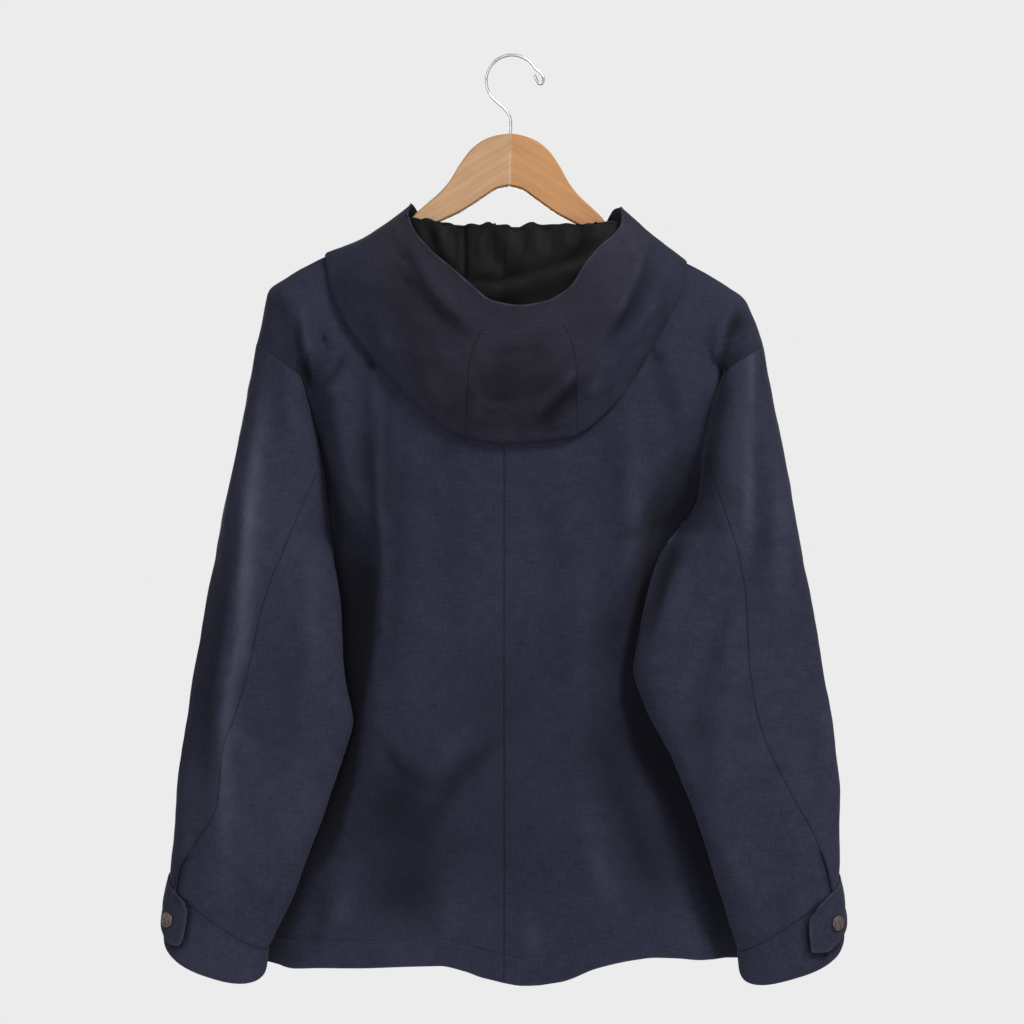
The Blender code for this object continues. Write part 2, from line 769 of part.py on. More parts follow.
def build_hood(shell):
    tree = shell.tree()
    grid = [hood_row(tree, turn) for turn in HOOD_ROUND]
    fold_column = FAR_COLUMNS + 1
    settled(tree, grid, HOOD_GAP)

    def shell_owner(row, column):
        middle = (HOOD_ROUND[row] + HOOD_ROUND[row + 1]) / 2
        between = INSERT_EDGES[0] < middle < INSERT_EDGES[1]
        low = column < fold_column + 1 + INSERT_TOP
        return "hood_insert" if between and low else "hood_shell"

    def lining_owner(row, column):
        middle = (HOOD_ROUND[row] + HOOD_ROUND[row + 1]) / 2
        shown = abs(middle) < LINING_ROUND and column < len(grid[0]) - 2
        return "hood_lining" if shown else "none"

    hood = Surface()
    hood.add(grid, shell_owner, False)
    cloth = material("hood_cloth", HOOD_NAVY, 0.85)
    for name in ("hood_shell", "hood_insert"):
        finish(name, hood.cut(name, CLOTH), cloth)
    inside = Surface()
    inside.add(grid, lining_owner, False)
    mesh = inside.cut("hood_lining", LINING, lift=-(CLOTH + LIE_GAP))
    finish("hood_lining", mesh, material("lining_cloth", BLACK, 0.7))


# ---------------------------------------------------------------- the closure

# The placket, from the throat, where the hood's front ends leave it room, to the hem.
PLACKET = Table(("along", "z", "half"), (
    (0.00, -262, 9),
    (0.05, -292, 28),
    (0.09, -320, 28),
    (1.00, -902, 28)))
PLACKET_ROWS = 16
SNAP_COUNT = 6
SNAP_FIRST = -300 * MM
SNAP_LAST = -870 * MM
SNAP_RADIUS = 7.5 * MM
SNAP_HEIGHT = 2.4 * MM
SNAP_SIDES = 16


FAR_IN_FRONT = 300 * MM     # a plane clear of the garment's front


def fallen_on(tree, x, z):
    """The front's face at a height, met from in front, with its normal."""
    hit, normal, _, _ = tree.ray_cast(Vector((x, -FAR_IN_FRONT, z)), Vector((0, 1, 0)))
    return hit, normal


def laid_grid(tree, grid, height):
    return [[laid(tree, place, height) for place in row] for row in grid]


def snap(name, place, normal):
    """A snap's cap: a low turned dome on a flat foot."""
    profile = ((1.0, 0.0), (1.0, 0.45), (0.86, 0.8), (0.5, 1.0))
    mesh = bmesh.new()
    turn = normal.to_track_quat("Z", "Y").to_matrix()
    rings = []
    for radius, height in profile:
        ring = []
        for i in range(SNAP_SIDES):
            angle = 2 * math.pi * i / SNAP_SIDES
            local = Vector((radius * SNAP_RADIUS * math.cos(angle),
                            radius * SNAP_RADIUS * math.sin(angle), height * SNAP_HEIGHT))
            ring.append(mesh.verts.new(place + turn @ local))
        rings.append(ring)
    for low, high in zip(rings, rings[1:]):
        for i in range(SNAP_SIDES):
            j = (i + 1) % SNAP_SIDES
            mesh.faces.new((low[i], low[j], high[j], high[i]))
    mesh.faces.new(rings[0][::-1])
    mesh.faces.new(rings[-1])
    return finish(name, mesh, material("snap_bronze", BRONZE, 0.35, 0.9))


def build_placket(shell):
    tree = shell.tree()
    across = [-1, -0.5, 0, 0.5, 1]
    throat, first = PLACKET.keys[:2], PLACKET.keys[2]
    alongs = throat + [mix(first, 1, i / PLACKET_ROWS) for i in range(PLACKET_ROWS + 1)]
    grid = []
    for along in alongs:
        row = []
        for share in across:
            x = CENTRE_X + share * PLACKET.at(along, "half")
            hit, normal = fallen_on(tree, x, PLACKET.at(along, "z"))
            row.append(hit + normal * (CLOTH + LIE_GAP))
        grid.append(row)
    placket = Surface()
    placket.add(settled(tree, grid, CLOTH + LIE_GAP), "placket", True)
    finish("placket", placket.cut("placket", CLOTH), material("body_cloth", NAVY, 0.85))
    cover = placket.tree()
    for i in range(SNAP_COUNT):
        z = mix(SNAP_FIRST, SNAP_LAST, i / (SNAP_COUNT - 1))
        hit, normal = fallen_on(cover, CENTRE_X, z)
        snap(f"placket_snap_{i + 1}", hit + normal * LIE_GAP, normal)


# The cuff's overlapping end, as a tab: angles round the sleeve, and shares of the cuff.
TAB_BACK = {"left": 0.37, "right": 0.42}     # turns of pi from the outer edge, behind
TAB_FRONT = 0.32                             # and in front
TAB_COLUMNS = 7
TAB_ROWS = 5
TAB_CHAMFER = 7.2 * MM


def build_tab(side, shell):
    """The tab wraps the cuff's outer edge and ends behind in two cut corners."""
    tree = shell.tree()
    grid = []
    for i in range(TAB_ROWS + 1):
        share = i / TAB_ROWS
        row = []
        for j in range(TAB_COLUMNS + 1):
            angle = mix(-TAB_FRONT, TAB_BACK[side], j / TAB_COLUMNS) * math.pi
            point = sleeve_point(side, 1.0, angle % (2 * math.pi), max(1e-6, share))
            row.append(point)
        grid.append(row)
    tip = grid[TAB_ROWS // 2][-1] - grid[TAB_ROWS // 2][-2]
    for row in (grid[0], grid[-1]):
        row[-1] = row[-1] - tip.normalized() * TAB_CHAMFER
    raised = settled(tree, laid_grid(tree, grid, CLOTH + LIE_GAP), CLOTH + LIE_GAP)
    tab = Surface()
    tab.add(raised, "tab", side == "left")
    mesh = tab.cut("tab", CLOTH)
    finish(f"cuff_tab_{side}", mesh, material("sleeve_cloth", SLEEVE_NAVY, 0.85))
    above, below = raised[TAB_ROWS // 2], raised[TAB_ROWS // 2 + 1]
    middle = above[TAB_COLUMNS - 2].lerp(below[TAB_COLUMNS - 2], 0.5)
    near, normal, _, _ = tab.tree().find_nearest(middle)
    snap(f"cuff_snap_{side}", near + normal * LIE_GAP * 2, normal)


# ---------------------------------------------------------------- the hanger

# Half of the hanger's outline, from its middle to the arm's end.
ARM = Table(("x", "top", "low"), (
    (0, -77, -130),
    (12, -79, -133),
    (26, -84, -142),
    (39, -94, -151),
    (50, -109, -158),
    (60, -126, -163),
    (70, -138, -168),
    (82, -149, -174),
    (93, -159, -181),
    (99, -167, -185),
    (106, -178, -192),
    (116, -184, -197),
    (130, -188, -202),
    (165, -203, -221),
    (200, -219, -238),
    (220, -233, -248),
    (229, -240, -248)))
ARM_STEPS = 24
WOOD_HALF = 6 * MM
WOOD_BEVEL = 2.5 * MM
WIRE = 1.6 * MM
CROWN = 26 * MM             # radius of the hook's crown, at the wire's middle
CROWN_ARC = math.radians(228), math.radians(28)
CROWN_STEPS = 16
SHAFT_DEEP = 24 * MM        # of the wire in the wood
SHAFT_TOP = -64 * MM
SWAN_X = 3.5 * MM           # the bend between the straight shaft and the crown
SWAN_DROP = 31 * MM
EYE = ((-5, -4), (-8.5, -9.5), (-8, -15), (-4.5, -16), (-1.5, -11.5), (0.8, -6))
EYE_DEEP = 3.6 * MM         # how far the eye's end lies behind its start


def build_arm(side):
    """One arm of the hanger, a flat board sawn to the outline and joined in the middle."""
    sign = signed(side)
    outline = []
    xs = [mix(SEAM_GAP / 2 / MM, ARM.keys[-1], i / ARM_STEPS) for i in range(ARM_STEPS + 1)]
    outline += [(x, ARM.at(x, "top")) for x in xs]
    outline += [(x, ARM.at(x, "low")) for x in reversed(xs)]
    mesh = bmesh.new()
    loops = []
    for y, shrink in ((-WOOD_HALF, WOOD_BEVEL), (-WOOD_HALF + WOOD_BEVEL, 0),
                      (WOOD_HALF - WOOD_BEVEL, 0), (WOOD_HALF, WOOD_BEVEL)):
        loop = []
        count = len(xs)
        for i, (x, z) in enumerate(outline):
            inward = -1 if i < count else 1
            end = shrink if i in (count - 1, count) else 0
            px, pz = tilted(sign * (x * MM - end), z + inward * shrink)
            loop.append(mesh.verts.new((px, y, pz)))
        loops.append(loop)
    size = len(outline)
    for low, high in zip(loops, loops[1:]):
        for i in range(size):
            j = (i + 1) % size
            mesh.faces.new((low[i], low[j], high[j], high[i]))
    count = len(xs)
    for loop in (loops[0], loops[-1]):
        for i in range(count - 1):
            mesh.faces.new((loop[i], loop[i + 1], loop[size - 2 - i], loop[size - 1 - i]))
    bmesh.ops.recalc_face_normals(mesh, faces=mesh.faces[:])
    arm = finish(f"hanger_{side}", mesh, material("hanger_wood", MAPLE, 0.45))
    cutter_mesh = bmesh.new()
    bmesh.ops.create_cone(cutter_mesh, cap_ends=True, segments=16, radius1=WIRE + SEAM_GAP,
                          radius2=WIRE + SEAM_GAP, depth=2 * SHAFT_DEEP)
    cutter = finish(f"bore_{side}", cutter_mesh, material("hanger_wood", MAPLE, 0.45))
    x, z = tilted(0, ARM.at(0, "top"))
    cutter.matrix_world = Matrix.Translation((x, 0, z)) @ Matrix.Rotation(-HANG_TILT, 4, "Y")
    cutter.hide_render = True
    cutter.display_type = "WIRE"
    cut = arm.modifiers.new("bore", "BOOLEAN")
    cut.operation = "DIFFERENCE"
    cut.solver = "EXACT"
    cut.object = cutter


def hook_path():
    """The wire's middle line: out of the wood, round the crown and back in a small eye."""
    shaft_low = tilted(0, ARM.at(0, "top") - SHAFT_DEEP + 2 * MM)
    shaft_top = tilted(0, SHAFT_TOP)
    centre_z = WIRE - CROWN
    points = [Vector((x, 0, z)) for x, z in (shaft_low, shaft_top)]
    points.append(Vector((shaft_top[0] + SWAN_X, 0, centre_z - SWAN_DROP)))
    for i in range(CROWN_STEPS + 1):
        angle = mix(*CROWN_ARC, i / CROWN_STEPS)
        points.append(Vector((-CROWN * math.cos(angle), 0, centre_z + CROWN * math.sin(angle))))
    last = points[-1]
    for i, (x, z) in enumerate(EYE):
        points.append(last + Vector((x * MM, EYE_DEEP * i / (len(EYE) - 1), z * MM)))
    return points


def build_hook():
    curve = bpy.data.curves.new("hook", "CURVE")
    curve.dimensions = "3D"
    curve.bevel_depth = WIRE
    curve.bevel_resolution = 3
    curve.use_fill_caps = True
    spline = curve.splines.new("POLY")
    path = hook_path()
    spline.points.add(len(path) - 1)
    for point, place in zip(spline.points, path):
        point.co = (*place, 1)
    curve.materials.append(material("hook_steel", STEEL, 0.35, 1.0))
    bpy.context.scene.collection.objects.link(bpy.data.objects.new("hook", curve))


def build():
    for old in list(bpy.data.objects):
        bpy.data.objects.remove(old, do_unlink=True)
    shell = build_shell()
    build_body(shell)
    build_hood(shell)
    build_placket(shell)
    for side in ("left", "right"):
        build_tab(side, shell)
        build_arm(side)
    build_hook()


build()
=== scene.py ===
"""A hooded mountain parka on a wooden hanger: its cloth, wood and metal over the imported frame.

Metres, +Z up, the wearer's left at +X, the back of the garment at +Y and its front at -Y.
The origin is the inside of the hook's crown. The tables and creases are in millimetres, and the
shares in them run from 0 to 1. Each piece of cloth is cut from grids of points, laid by the tables.
"""
import math

import bpy
import numpy as np
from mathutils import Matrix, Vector, noise
from mathutils.bvhtree import BVHTree
from mathutils.kdtree import KDTree


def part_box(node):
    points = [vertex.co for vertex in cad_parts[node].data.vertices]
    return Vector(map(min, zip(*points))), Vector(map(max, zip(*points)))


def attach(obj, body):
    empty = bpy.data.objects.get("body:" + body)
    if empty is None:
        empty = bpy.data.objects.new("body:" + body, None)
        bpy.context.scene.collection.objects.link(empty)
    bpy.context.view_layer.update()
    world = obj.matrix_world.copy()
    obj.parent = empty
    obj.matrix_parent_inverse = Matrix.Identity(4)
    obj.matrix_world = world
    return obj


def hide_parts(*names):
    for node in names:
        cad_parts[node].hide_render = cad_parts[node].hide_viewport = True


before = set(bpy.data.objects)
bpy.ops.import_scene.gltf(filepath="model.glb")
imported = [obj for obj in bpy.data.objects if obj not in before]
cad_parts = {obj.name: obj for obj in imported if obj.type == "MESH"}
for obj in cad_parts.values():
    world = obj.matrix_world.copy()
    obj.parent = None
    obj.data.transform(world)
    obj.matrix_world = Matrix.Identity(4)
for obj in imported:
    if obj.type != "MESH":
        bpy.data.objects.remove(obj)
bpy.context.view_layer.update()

# ---------------------------------------------------------------- the studio
# A pale floor under the hanging garment, a pale surround, and large soft lamps.
# The camera looks squarely at the back, from four metres away.

CAMERA_AWAY = 4.0
CAMERA_Z = -0.4555
FILM = 36
VIEW_WIDE = 1.024           # metres across, at the garment
SURROUND = 0.838            # brightness of the pale surround, where the camera sees it
FILL = 0.17                 # brightness of the same surround as a light
LAMPS = (                   # name, place, size, watts
    ("lamp_right", (-1.75, 1.9, 2.1), 1.0, 90),
    ("lamp_back", (0.6, 3.43, -0.15), 1.6, 32),
    ("lamp_front", (0.6, -3.2, 0.0), 2.0, 50))

scene = bpy.context.scene
scene.view_settings.view_transform = "Standard"

camera = bpy.data.objects.new("camera", bpy.data.cameras.new("camera"))
camera.data.sensor_width = FILM
camera.data.lens = FILM * CAMERA_AWAY / VIEW_WIDE
camera.location = (0, CAMERA_AWAY, CAMERA_Z)
camera.rotation_euler = (math.pi / 2, 0, math.pi)
scene.collection.objects.link(camera)
scene.camera = camera

for name, place, size, watts in LAMPS:
    lamp = bpy.data.objects.new(name, bpy.data.lights.new(name, "AREA"))
    lamp.data.size = size
    lamp.data.energy = watts
    lamp.location = place
    away = Vector(place) - Vector((0, 0, CAMERA_Z))
    lamp.rotation_euler = away.to_track_quat("Z", "Y").to_euler()
    scene.collection.objects.link(lamp)


class Shade:
    """One value in a material: arithmetic on it adds the Math nodes."""

    def __init__(self, dye, socket):
        self.dye = dye
        self.socket = socket

    def with_math(self, operation, first, second):
        return self.dye.node("ShaderNodeMath", {"operation": operation}, {0: first, 1: second})

    def __add__(self, other):
        return self.with_math("ADD", self, other)

    def __sub__(self, other):
        return self.with_math("SUBTRACT", self, other)

    def __rsub__(self, other):
        return self.with_math("SUBTRACT", other, self)

    def __mul__(self, other):
        return self.with_math("MULTIPLY", self, other)

    __radd__ = __add__
    __rmul__ = __mul__

    def limited(self, low=0.0, high=1.0):
        return self.with_math("MINIMUM", self.with_math("MAXIMUM", self, low), high)


class Dye:
    """A node tree that is filled in line by line; its fixed values sit on the shader."""

    def __init__(self, owner, shader=None, fixed=None):
        tree = getattr(owner, "node_tree", owner)
        self.nodes = tree.nodes
        self.links = tree.links
        self.shader = shader and self.nodes[shader]
        for socket, value in (fixed or {}).items():
            self.shader.inputs[socket].default_value = value

    def node(self, kind, settings=None, sockets=None, out=0):
        made = self.nodes.new(kind)
        for key, value in (settings or {}).items():
            setattr(made, key, value)
        for key, value in (sockets or {}).items():
            self.feed(made.inputs[key], value)
        return Shade(self, made.outputs[out])

    def feed(self, socket, value):
        if isinstance(value, Shade):
            self.links.new(value.socket, socket)
        else:
            socket.default_value = value

    def finish(self, sockets):
        """Fills in what changes over the surface."""
        for name, value in sockets.items():
            self.feed(self.shader.inputs[name], value)

    def where(self):
        """The place on the whole object."""
        return self.node("ShaderNodeTexCoord", out="Object")

    def parts(self, vector):
        """A vector's x, y and z."""
        split = self.node("ShaderNodeSeparateXYZ", None, {0: vector}).socket.node
        return [Shade(self, out) for out in split.outputs]

    def stretched(self, vector, scale):
        return self.node("ShaderNodeVectorMath", {"operation": "MULTIPLY"}, {0: vector, 1: scale})

    def speckle(self, vector, scale, detail=2.0, rough=0.5):
        """Noise from -1 to 1, mostly near 0."""
        sockets = {"Vector": vector, "Scale": scale, "Detail": detail, "Roughness": rough}
        return self.node("ShaderNodeTexNoise", None, sockets) * 2 - 1

    def blend(self, share, first, second):
        return self.node("ShaderNodeMix", {"data_type": "RGBA"},
                         {0: share, 6: first, 7: second}, out=2)

    def bump(self, height, distance, strength):
        return self.node("ShaderNodeBump", None,
                         {"Height": height, "Distance": distance, "Strength": strength})


def material(name, fixed):
    """A new material, and the tree that fills in its shader."""
    made = bpy.data.materials.new(name)
    made.use_nodes = True
    return made, Dye(made, "Principled BSDF", fixed)


def angles_round(count):
    return np.linspace(0, 2 * math.pi, count, endpoint=False)


world = bpy.data.worlds.new("surround")
world.use_nodes = True
scene.world = world
sky = Dye(world, "Background")
rays = sky.node("ShaderNodeLightPath").socket.node.outputs
seen = sum(Shade(sky, rays[f"Is {kind} Ray"]) for kind in ("Camera", "Glossy", "Transmission"))
sky.finish({"Color": (1, 1, 1, 1), "Strength": FILL + (SURROUND - FILL) * seen.limited()})

FLOOR_Z = -1.35
FLOOR_RADIUS = 2.4
floor_mesh = bpy.data.meshes.new("floor")
floor_rim = [(FLOOR_RADIUS * math.cos(a), FLOOR_RADIUS * math.sin(a), FLOOR_Z)
             for a in angles_round(96)]
floor_mesh.from_pydata(floor_rim, [], [range(len(floor_rim))])
floor = bpy.data.objects.new("floor", floor_mesh)
scene.collection.objects.link(floor)
floor_paint, _ = material("floor", {"Roughness": 0.9, "Base Color": (0.8, 0.8, 0.8, 1)})
floor_mesh.materials.append(floor_paint)

# ---------------------------------------------------------------- the shell's sleeves
# Two-piece sleeves of navy twill. The outer half wraps the arm, and the under half is
# sewn to it along a slanting seam behind and another in front.

MM = 0.001


class Table:
    """Rows of named columns, read smoothly by the first column and never past its values."""

    def __init__(self, names, rows, unit=MM):
        rows = np.array(rows, float)
        self.names = names.split()[1:]
        self.keys = rows[:, 0]
        self.values = rows[:, 1:] * unit
        slopes = np.diff(self.values, axis=0) / np.diff(self.keys)[:, None]
        before, after = slopes[:-1], slopes[1:]
        turning = before * after <= 0
        inner = np.where(turning, 0, 2 * before * after / np.where(turning, 1, before + after))
        self.tangents = np.vstack([slopes[:1], inner, slopes[-1:]])

    def at(self, key, name):
        column = self.names.index(name)
        key = np.clip(key, self.keys[0], self.keys[-1])
        i = np.clip(np.searchsorted(self.keys, key) - 1, 0, len(self.keys) - 2)
        h = self.keys[i + 1] - self.keys[i]
        t = (key - self.keys[i]) / h
        value, tangent = self.values[:, column], self.tangents[:, column]
        return ((2 * t ** 3 - 3 * t ** 2 + 1) * value[i]
                + (t ** 3 - 2 * t ** 2 + t) * h * tangent[i]
                + (3 * t ** 2 - 2 * t ** 3) * value[i + 1]
                + (t ** 3 - t ** 2) * h * tangent[i + 1])

    def point(self, key):
        return np.stack([self.at(key, name) for name in "xyz"], axis=-1)


def smooth(value):
    value = np.clip(value, 0.0, 1.0)
    return value * value * (3 - 2 * value)


def mix(a, b, t):
    return a + (b - a) * t


STITCHED = 2.4              # millimetres from a seam or an edge to its stitches
SEAM_SHADE_AND_GRIME, EDGE_RUB = 0.5, 0.3     # how much shade and grime is painted into a seam, and how pale a free edge is worn


def steps(first, last, step, seams=(), unit=1.0):
    """Even steps, with closer ones beside the seams; unit is how many millimetres 1 is."""
    near = np.array((0.6, 1.3, STITCHED)) / unit
    clear = near[-1] + 0.5 * step
    even = np.linspace(first, last, max(2, round((last - first) / step) + 1))
    kept = [v for v in even if all(abs(v - seam) > clear for seam in seams)]
    for seam in seams:
        kept += [seam, *(seam - near), *(seam + near)]
    kept += [first, last]
    return np.unique(np.round([v for v in kept if first <= v <= last], 9))


SIDES = {"left": 1, "right": -1}
CLOTH = 1.2 * MM            # with its seam allowances
# A sleeve's columns run from its outer edge, behind it to the inner edge and round in front;
# its rows run down it. The back seam starts part of the way down the armhole.
SEAM_COLUMN, HALF_COLUMN, FRONT_SEAM_COLUMN, LAST_COLUMN = 4, 8, 11, 16
SEAM_ROW, UNDERARM_ROW, LAST_ROW = 4, 6, 16
UNDERARM = 0.3              # along the sleeve
VENT_TOP = 0.82
VENT_OVER, VENT_BENEATH = 0.4, 0.3      # columns on either side of the seam
SLEEVE_SQUARENESS = 2.6     # 2 is an ellipse, more is squarer
FRONT_SEAM_SHARE = 0.30     # of the width, from the inner edge
FRONT_SEAM_START, FRONT_SEAM_RUN = 0.12, 0.15       # of that share under the arm; as along
ROW_CROWDING = 1.15         # draws the lower rows together under the arm
# The outer edge, the inner edge, the back seam, and how square the inner edge is, in tenths.
SLEEVE_NAMES = "along out_x out_z in_x in_z seam_x in_square"
SLEEVES = {
    "left": Table(SLEEVE_NAMES, (
        (0.00, 255, -287, 210, -319, 214, 22),
        (0.10, 265, -346, 201, -352, 206, 22),
        (0.20, 279, -413, 187, -414, 194, 22),
        (0.25, 287, -450, 184, -446, 207, 24),
        (0.30, 293, -483, 181, -480, 221, 22),
        (0.40, 304, -545, 171, -545, 246, 24),
        (0.50, 316, -616, 166, -620, 263, 22),
        (0.55, 322, -652, 159, -664, 275, 22),
        (0.60, 327, -685, 165, -690, 286, 22),
        (0.70, 334, -740, 185, -750, 293, 22),
        (0.80, 335, -770, 203, -800, 313, 22),
        (0.90, 338, -797, 222, -845, 329, 22),
        (1.00, 341, -818, 242, -886, 334, 22))),
    "right": Table(SLEEVE_NAMES, (
        (0.00, 251, -289, 210, -316, 214, 26),
        (0.10, 262, -346, 200, -345, 205, 26),
        (0.20, 275, -413, 189, -405, 197, 24),
        (0.25, 281, -450, 186, -437, 207, 19),
        (0.30, 287, -483, 170, -470, 218, 16),
        (0.35, 292, -513, 151, -493, 225, 14),
        (0.40, 299, -548, 138, -525, 231, 14),
        (0.50, 309, -606, 125, -588, 234, 19),
        (0.55, 314, -637, 121, -613, 238, 25),
        (0.60, 319, -668, 130, -643, 244, 26),
        (0.70, 326, -726, 162, -706, 271, 26),
        (0.80, 325, -765, 187, -772, 298, 26),
        (0.90, 326, -795, 206, -834, 312, 26),
        (1.00, 326, -818, 223, -886, 318, 26))),
}
# y of the middle of the sleeve behind and before, and of its edges; and how its rows sag.
SLEEVE_DEPTH = Table("along back front out_y in_back in_front sag", (
    (0.00, 33, -33, 0, 24, -28, 0),
    (0.10, 41, -38, 3, 15, -34, 0),
    (0.20, 46, -35, 8, 5, -32, 0),
    (0.30, 48, -3.1, 12, -14, -14, 0),
    (0.34, 49, -4, 14, 3, 3, 0),
    (0.40, 49, -8, 17, 14, 14, 1),
    (0.50, 50, -8, 20, 20, 20, 3),
    (0.80, 49, -8, 20, 20, 20, 8),
    (1.00, 46, -8, 19, 19, 19, 13)))
CUFF = Table("along drop_out drop_in move_out move_in sag", (
    (0.0, 0, 0, 0, 0, 13),
    (0.5, -27, -10, 5, 1, 20),
    (1.0, -57, -20, 5, 2, 27)))

# Creases and worn ridges: soft troughs and ridges in the cloth, each along its own path.
# A row is the path (x, z), its rise, its widths (towards the wearer's left and right where the
# path runs down), its sharpness, and how pale it is painted, as wear and as a painted highlight
# on a lit crest, or below 0 how much shade is painted into it. A row with no rise only paints
# shade.
LEFT_SLEEVE_CREASES = (
    (((253, -300), (254, -355), (257, -399), (259, -444), (263, -478), (268, -503), (274, -533),
      (279, -562), (284, -592), (289, -622), (290, -681), (286, -712), (287, -785)),
      7.0, 22, 9, 1.3, 0.0),
    (((280, -420), (292, -520), (306, -600), (312, -680), (316, -760)), -6.0, 26, 20, 2.0),
    (((240, -270), (247, -340), (253, -390), (259, -440), (263, -503), (269, -582), (281, -641),
      (285, -700), (284, -780), (280, -870)), 1.0, 5, 9, 2.0, 0.70),
    (((276, -480), (282, -540), (292, -600), (301, -660), (302, -720),
      (298, -800)), 0.0, 9, 5, 2.0, -0.32),
    (((259, -470), (262, -540), (262, -600), (268, -650)), 1.4, 5, 6, 1.6),
    (((236, -305), (233, -350), (229, -400)), -2.1, 8, 8, 2.0),
    (((268, -645), (258, -672), (251, -700)), -2.3, 5, 7, 1.6),
    (((272, -655), (262, -690), (256, -720)), 1.6, 6, 6, 2.0),
    (((206, -450), (200, -530), (196, -600), (190, -670)), 1.8, 12, 12, 2.0),
    (((222, -480), (224, -560), (226, -640), (236, -730), (250, -810)), -1.8, 14, 14, 2.0),
    (((172, -640), (180, -662), (196, -676)), -1.6, 5, 6, 1.6),
    (((262, -800), (270, -840), (276, -872)), -1.6, 8, 8, 2.0),
    (((232, -830), (246, -858), (262, -884)), -1.3, 6, 7, 2.0),
    (((312, -740), (316, -790), (322, -830)), -1.8, 7, 8, 2.0),
)
RIGHT_SLEEVE_CREASES = (
    (((-230, -285), (-235, -355), (-240, -414), (-242, -444), (-241, -473), (-237, -503),
      (-235, -533), (-233, -592)), -3.6, 7, 15, 1.5),
    (((-246, -300), (-256, -380), (-264, -460), (-268, -540), (-276, -620)), 3.2, 15, 14, 2.0),
    (((-214, -340), (-218, -420), (-214, -500), (-205, -600)), 2.2, 20, 16, 2.0),
    (((-222, -505), (-212, -545), (-199, -590), (-186, -640), (-177, -690),
      (-178, -735)), -4.6, 9, 13, 1.7),
    (((-166, -450), (-152, -530), (-142, -600), (-150, -660), (-168, -720)), 3.0, 14, 30, 2.0, 0.0),
    (((-180, -440), (-170, -474), (-161, -497), (-153, -517), (-146, -540), (-139, -562),
      (-133, -584), (-128, -612)), -3.0, 11, 10, 2.6, -0.62),
    (((-216, -292), (-211, -325), (-206, -355), (-201, -380), (-195, -402), (-188, -430),
      (-182, -460)), 0.0, 5, 11, 2.0, -0.66),
    (((-239, -240), (-238, -290), (-237, -340), (-235, -400), (-234, -450),
      (-233, -530)), 1.4, 5, 5, 2.0, 0.55),
    (((-255, -250), (-254, -300), (-258, -380), (-262, -470)), 0.0, 13, 12, 2.0, -0.2),
    (((-228, -520), (-222, -556), (-210, -600), (-198, -650)), 2.1, 7, 8, 2.0),
    (((-233, -632), (-230, -666), (-224, -700)), -2.1, 5, 6, 1.6),
    (((-228, -739), (-238, -732), (-250, -725), (-271, -708)), -2.1, 4, 6, 1.5),
    (((-252, -715), (-262, -711), (-274, -701)), -1.7, 4, 5, 1.5),
    (((-182, -415), (-176, -459), (-169, -483), (-160, -516), (-146, -570),
      (-134, -604)), 2.9, 5, 12, 1.5),
    (((-197, -640), (-188, -690), (-196, -745)), -2.9, 12, 12, 2.0),
    (((-305, -620), (-316, -690), (-321, -745)), 2.1, 8, 6, 1.8),
    (((-292, -640), (-300, -700), (-304, -760)), -1.6, 7, 7, 2.0),
    (((-206, -760), (-222, -810), (-238, -860)), 2.1, 12, 12, 2.0),
    (((-262, -780), (-268, -830), (-262, -876)), -1.6, 9, 9, 2.0),
    (((-128, -612), (-146, -616), (-170, -606)), -1.7, 5, 6, 1.6),
)


def squarish_angle(side, along, across, behind):
    """The angle round the sleeve at which its outline has come this far across."""
    rounded = behind and across < 0
    power = (SLEEVES[side].at(along, "in_square") / MM / 10 if rounded else SLEEVE_SQUARENESS) / 2
    return math.acos(math.copysign(abs(across) ** power, across))


def sleeve_ring(side, along, angles, cuff=0.0):
    """Points round the sleeve: angle 0 is the outer edge, pi the inner edge."""
    table = SLEEVES[side]
    behind = angles <= math.pi
    square = np.where(behind & (angles > math.pi / 2),
                      table.at(along, "in_square") / MM / 10, SLEEVE_SQUARENESS)
    across = np.sign(np.cos(angles)) * np.abs(np.cos(angles)) ** (2 / square)
    deep = np.abs(np.sin(angles)) ** (2 / square)
    share = (1 - across) / 2
    out_x = table.at(along, "out_x") + CUFF.at(cuff, "move_out")
    out_z = table.at(along, "out_z") + CUFF.at(cuff, "drop_out")
    in_x = table.at(along, "in_x") + CUFF.at(cuff, "move_in")
    in_z = table.at(along, "in_z") + CUFF.at(cuff, "drop_in")
    sag = CUFF.at(cuff, "sag") if cuff else SLEEVE_DEPTH.at(along, "sag")
    inner = np.where(behind, SLEEVE_DEPTH.at(along, "in_back"), SLEEVE_DEPTH.at(along, "in_front"))
    flat = np.where(behind, SLEEVE_DEPTH.at(along, "back"), SLEEVE_DEPTH.at(along, "front"))
    outer = SLEEVE_DEPTH.at(along, "out_y")
    y = mix(outer, inner, share) + (flat - mix(outer, inner, 0.5)) * deep
    z = mix(out_z, in_z, share) - sag * deep * np.where(behind, 1, -1)
    return np.stack([SIDES[side] * mix(out_x, in_x, share), y, z], axis=-1)


def sleeve_angles(side, along, columns):
    """The columns' angles; the seams keep to theirs all the way down."""
    table = SLEEVES[side]
    width = table.at(along, "out_x") - table.at(along, "in_x")
    share = (table.at(along, "out_x") - table.at(along, "seam_x")) / width
    back_seam = squarish_angle(side, along, 1 - 2 * share, True)
    opening = smooth((along - UNDERARM) / FRONT_SEAM_RUN)
    front_share = 1 - FRONT_SEAM_SHARE * max(opening, FRONT_SEAM_START)
    front_seam = 2 * math.pi - squarish_angle(side, along, 1 - 2 * front_share, False)
    return np.interp(columns, (0, SEAM_COLUMN, HALF_COLUMN, FRONT_SEAM_COLUMN, LAST_COLUMN),
                     (0, back_seam, math.pi, front_seam, 2 * math.pi))


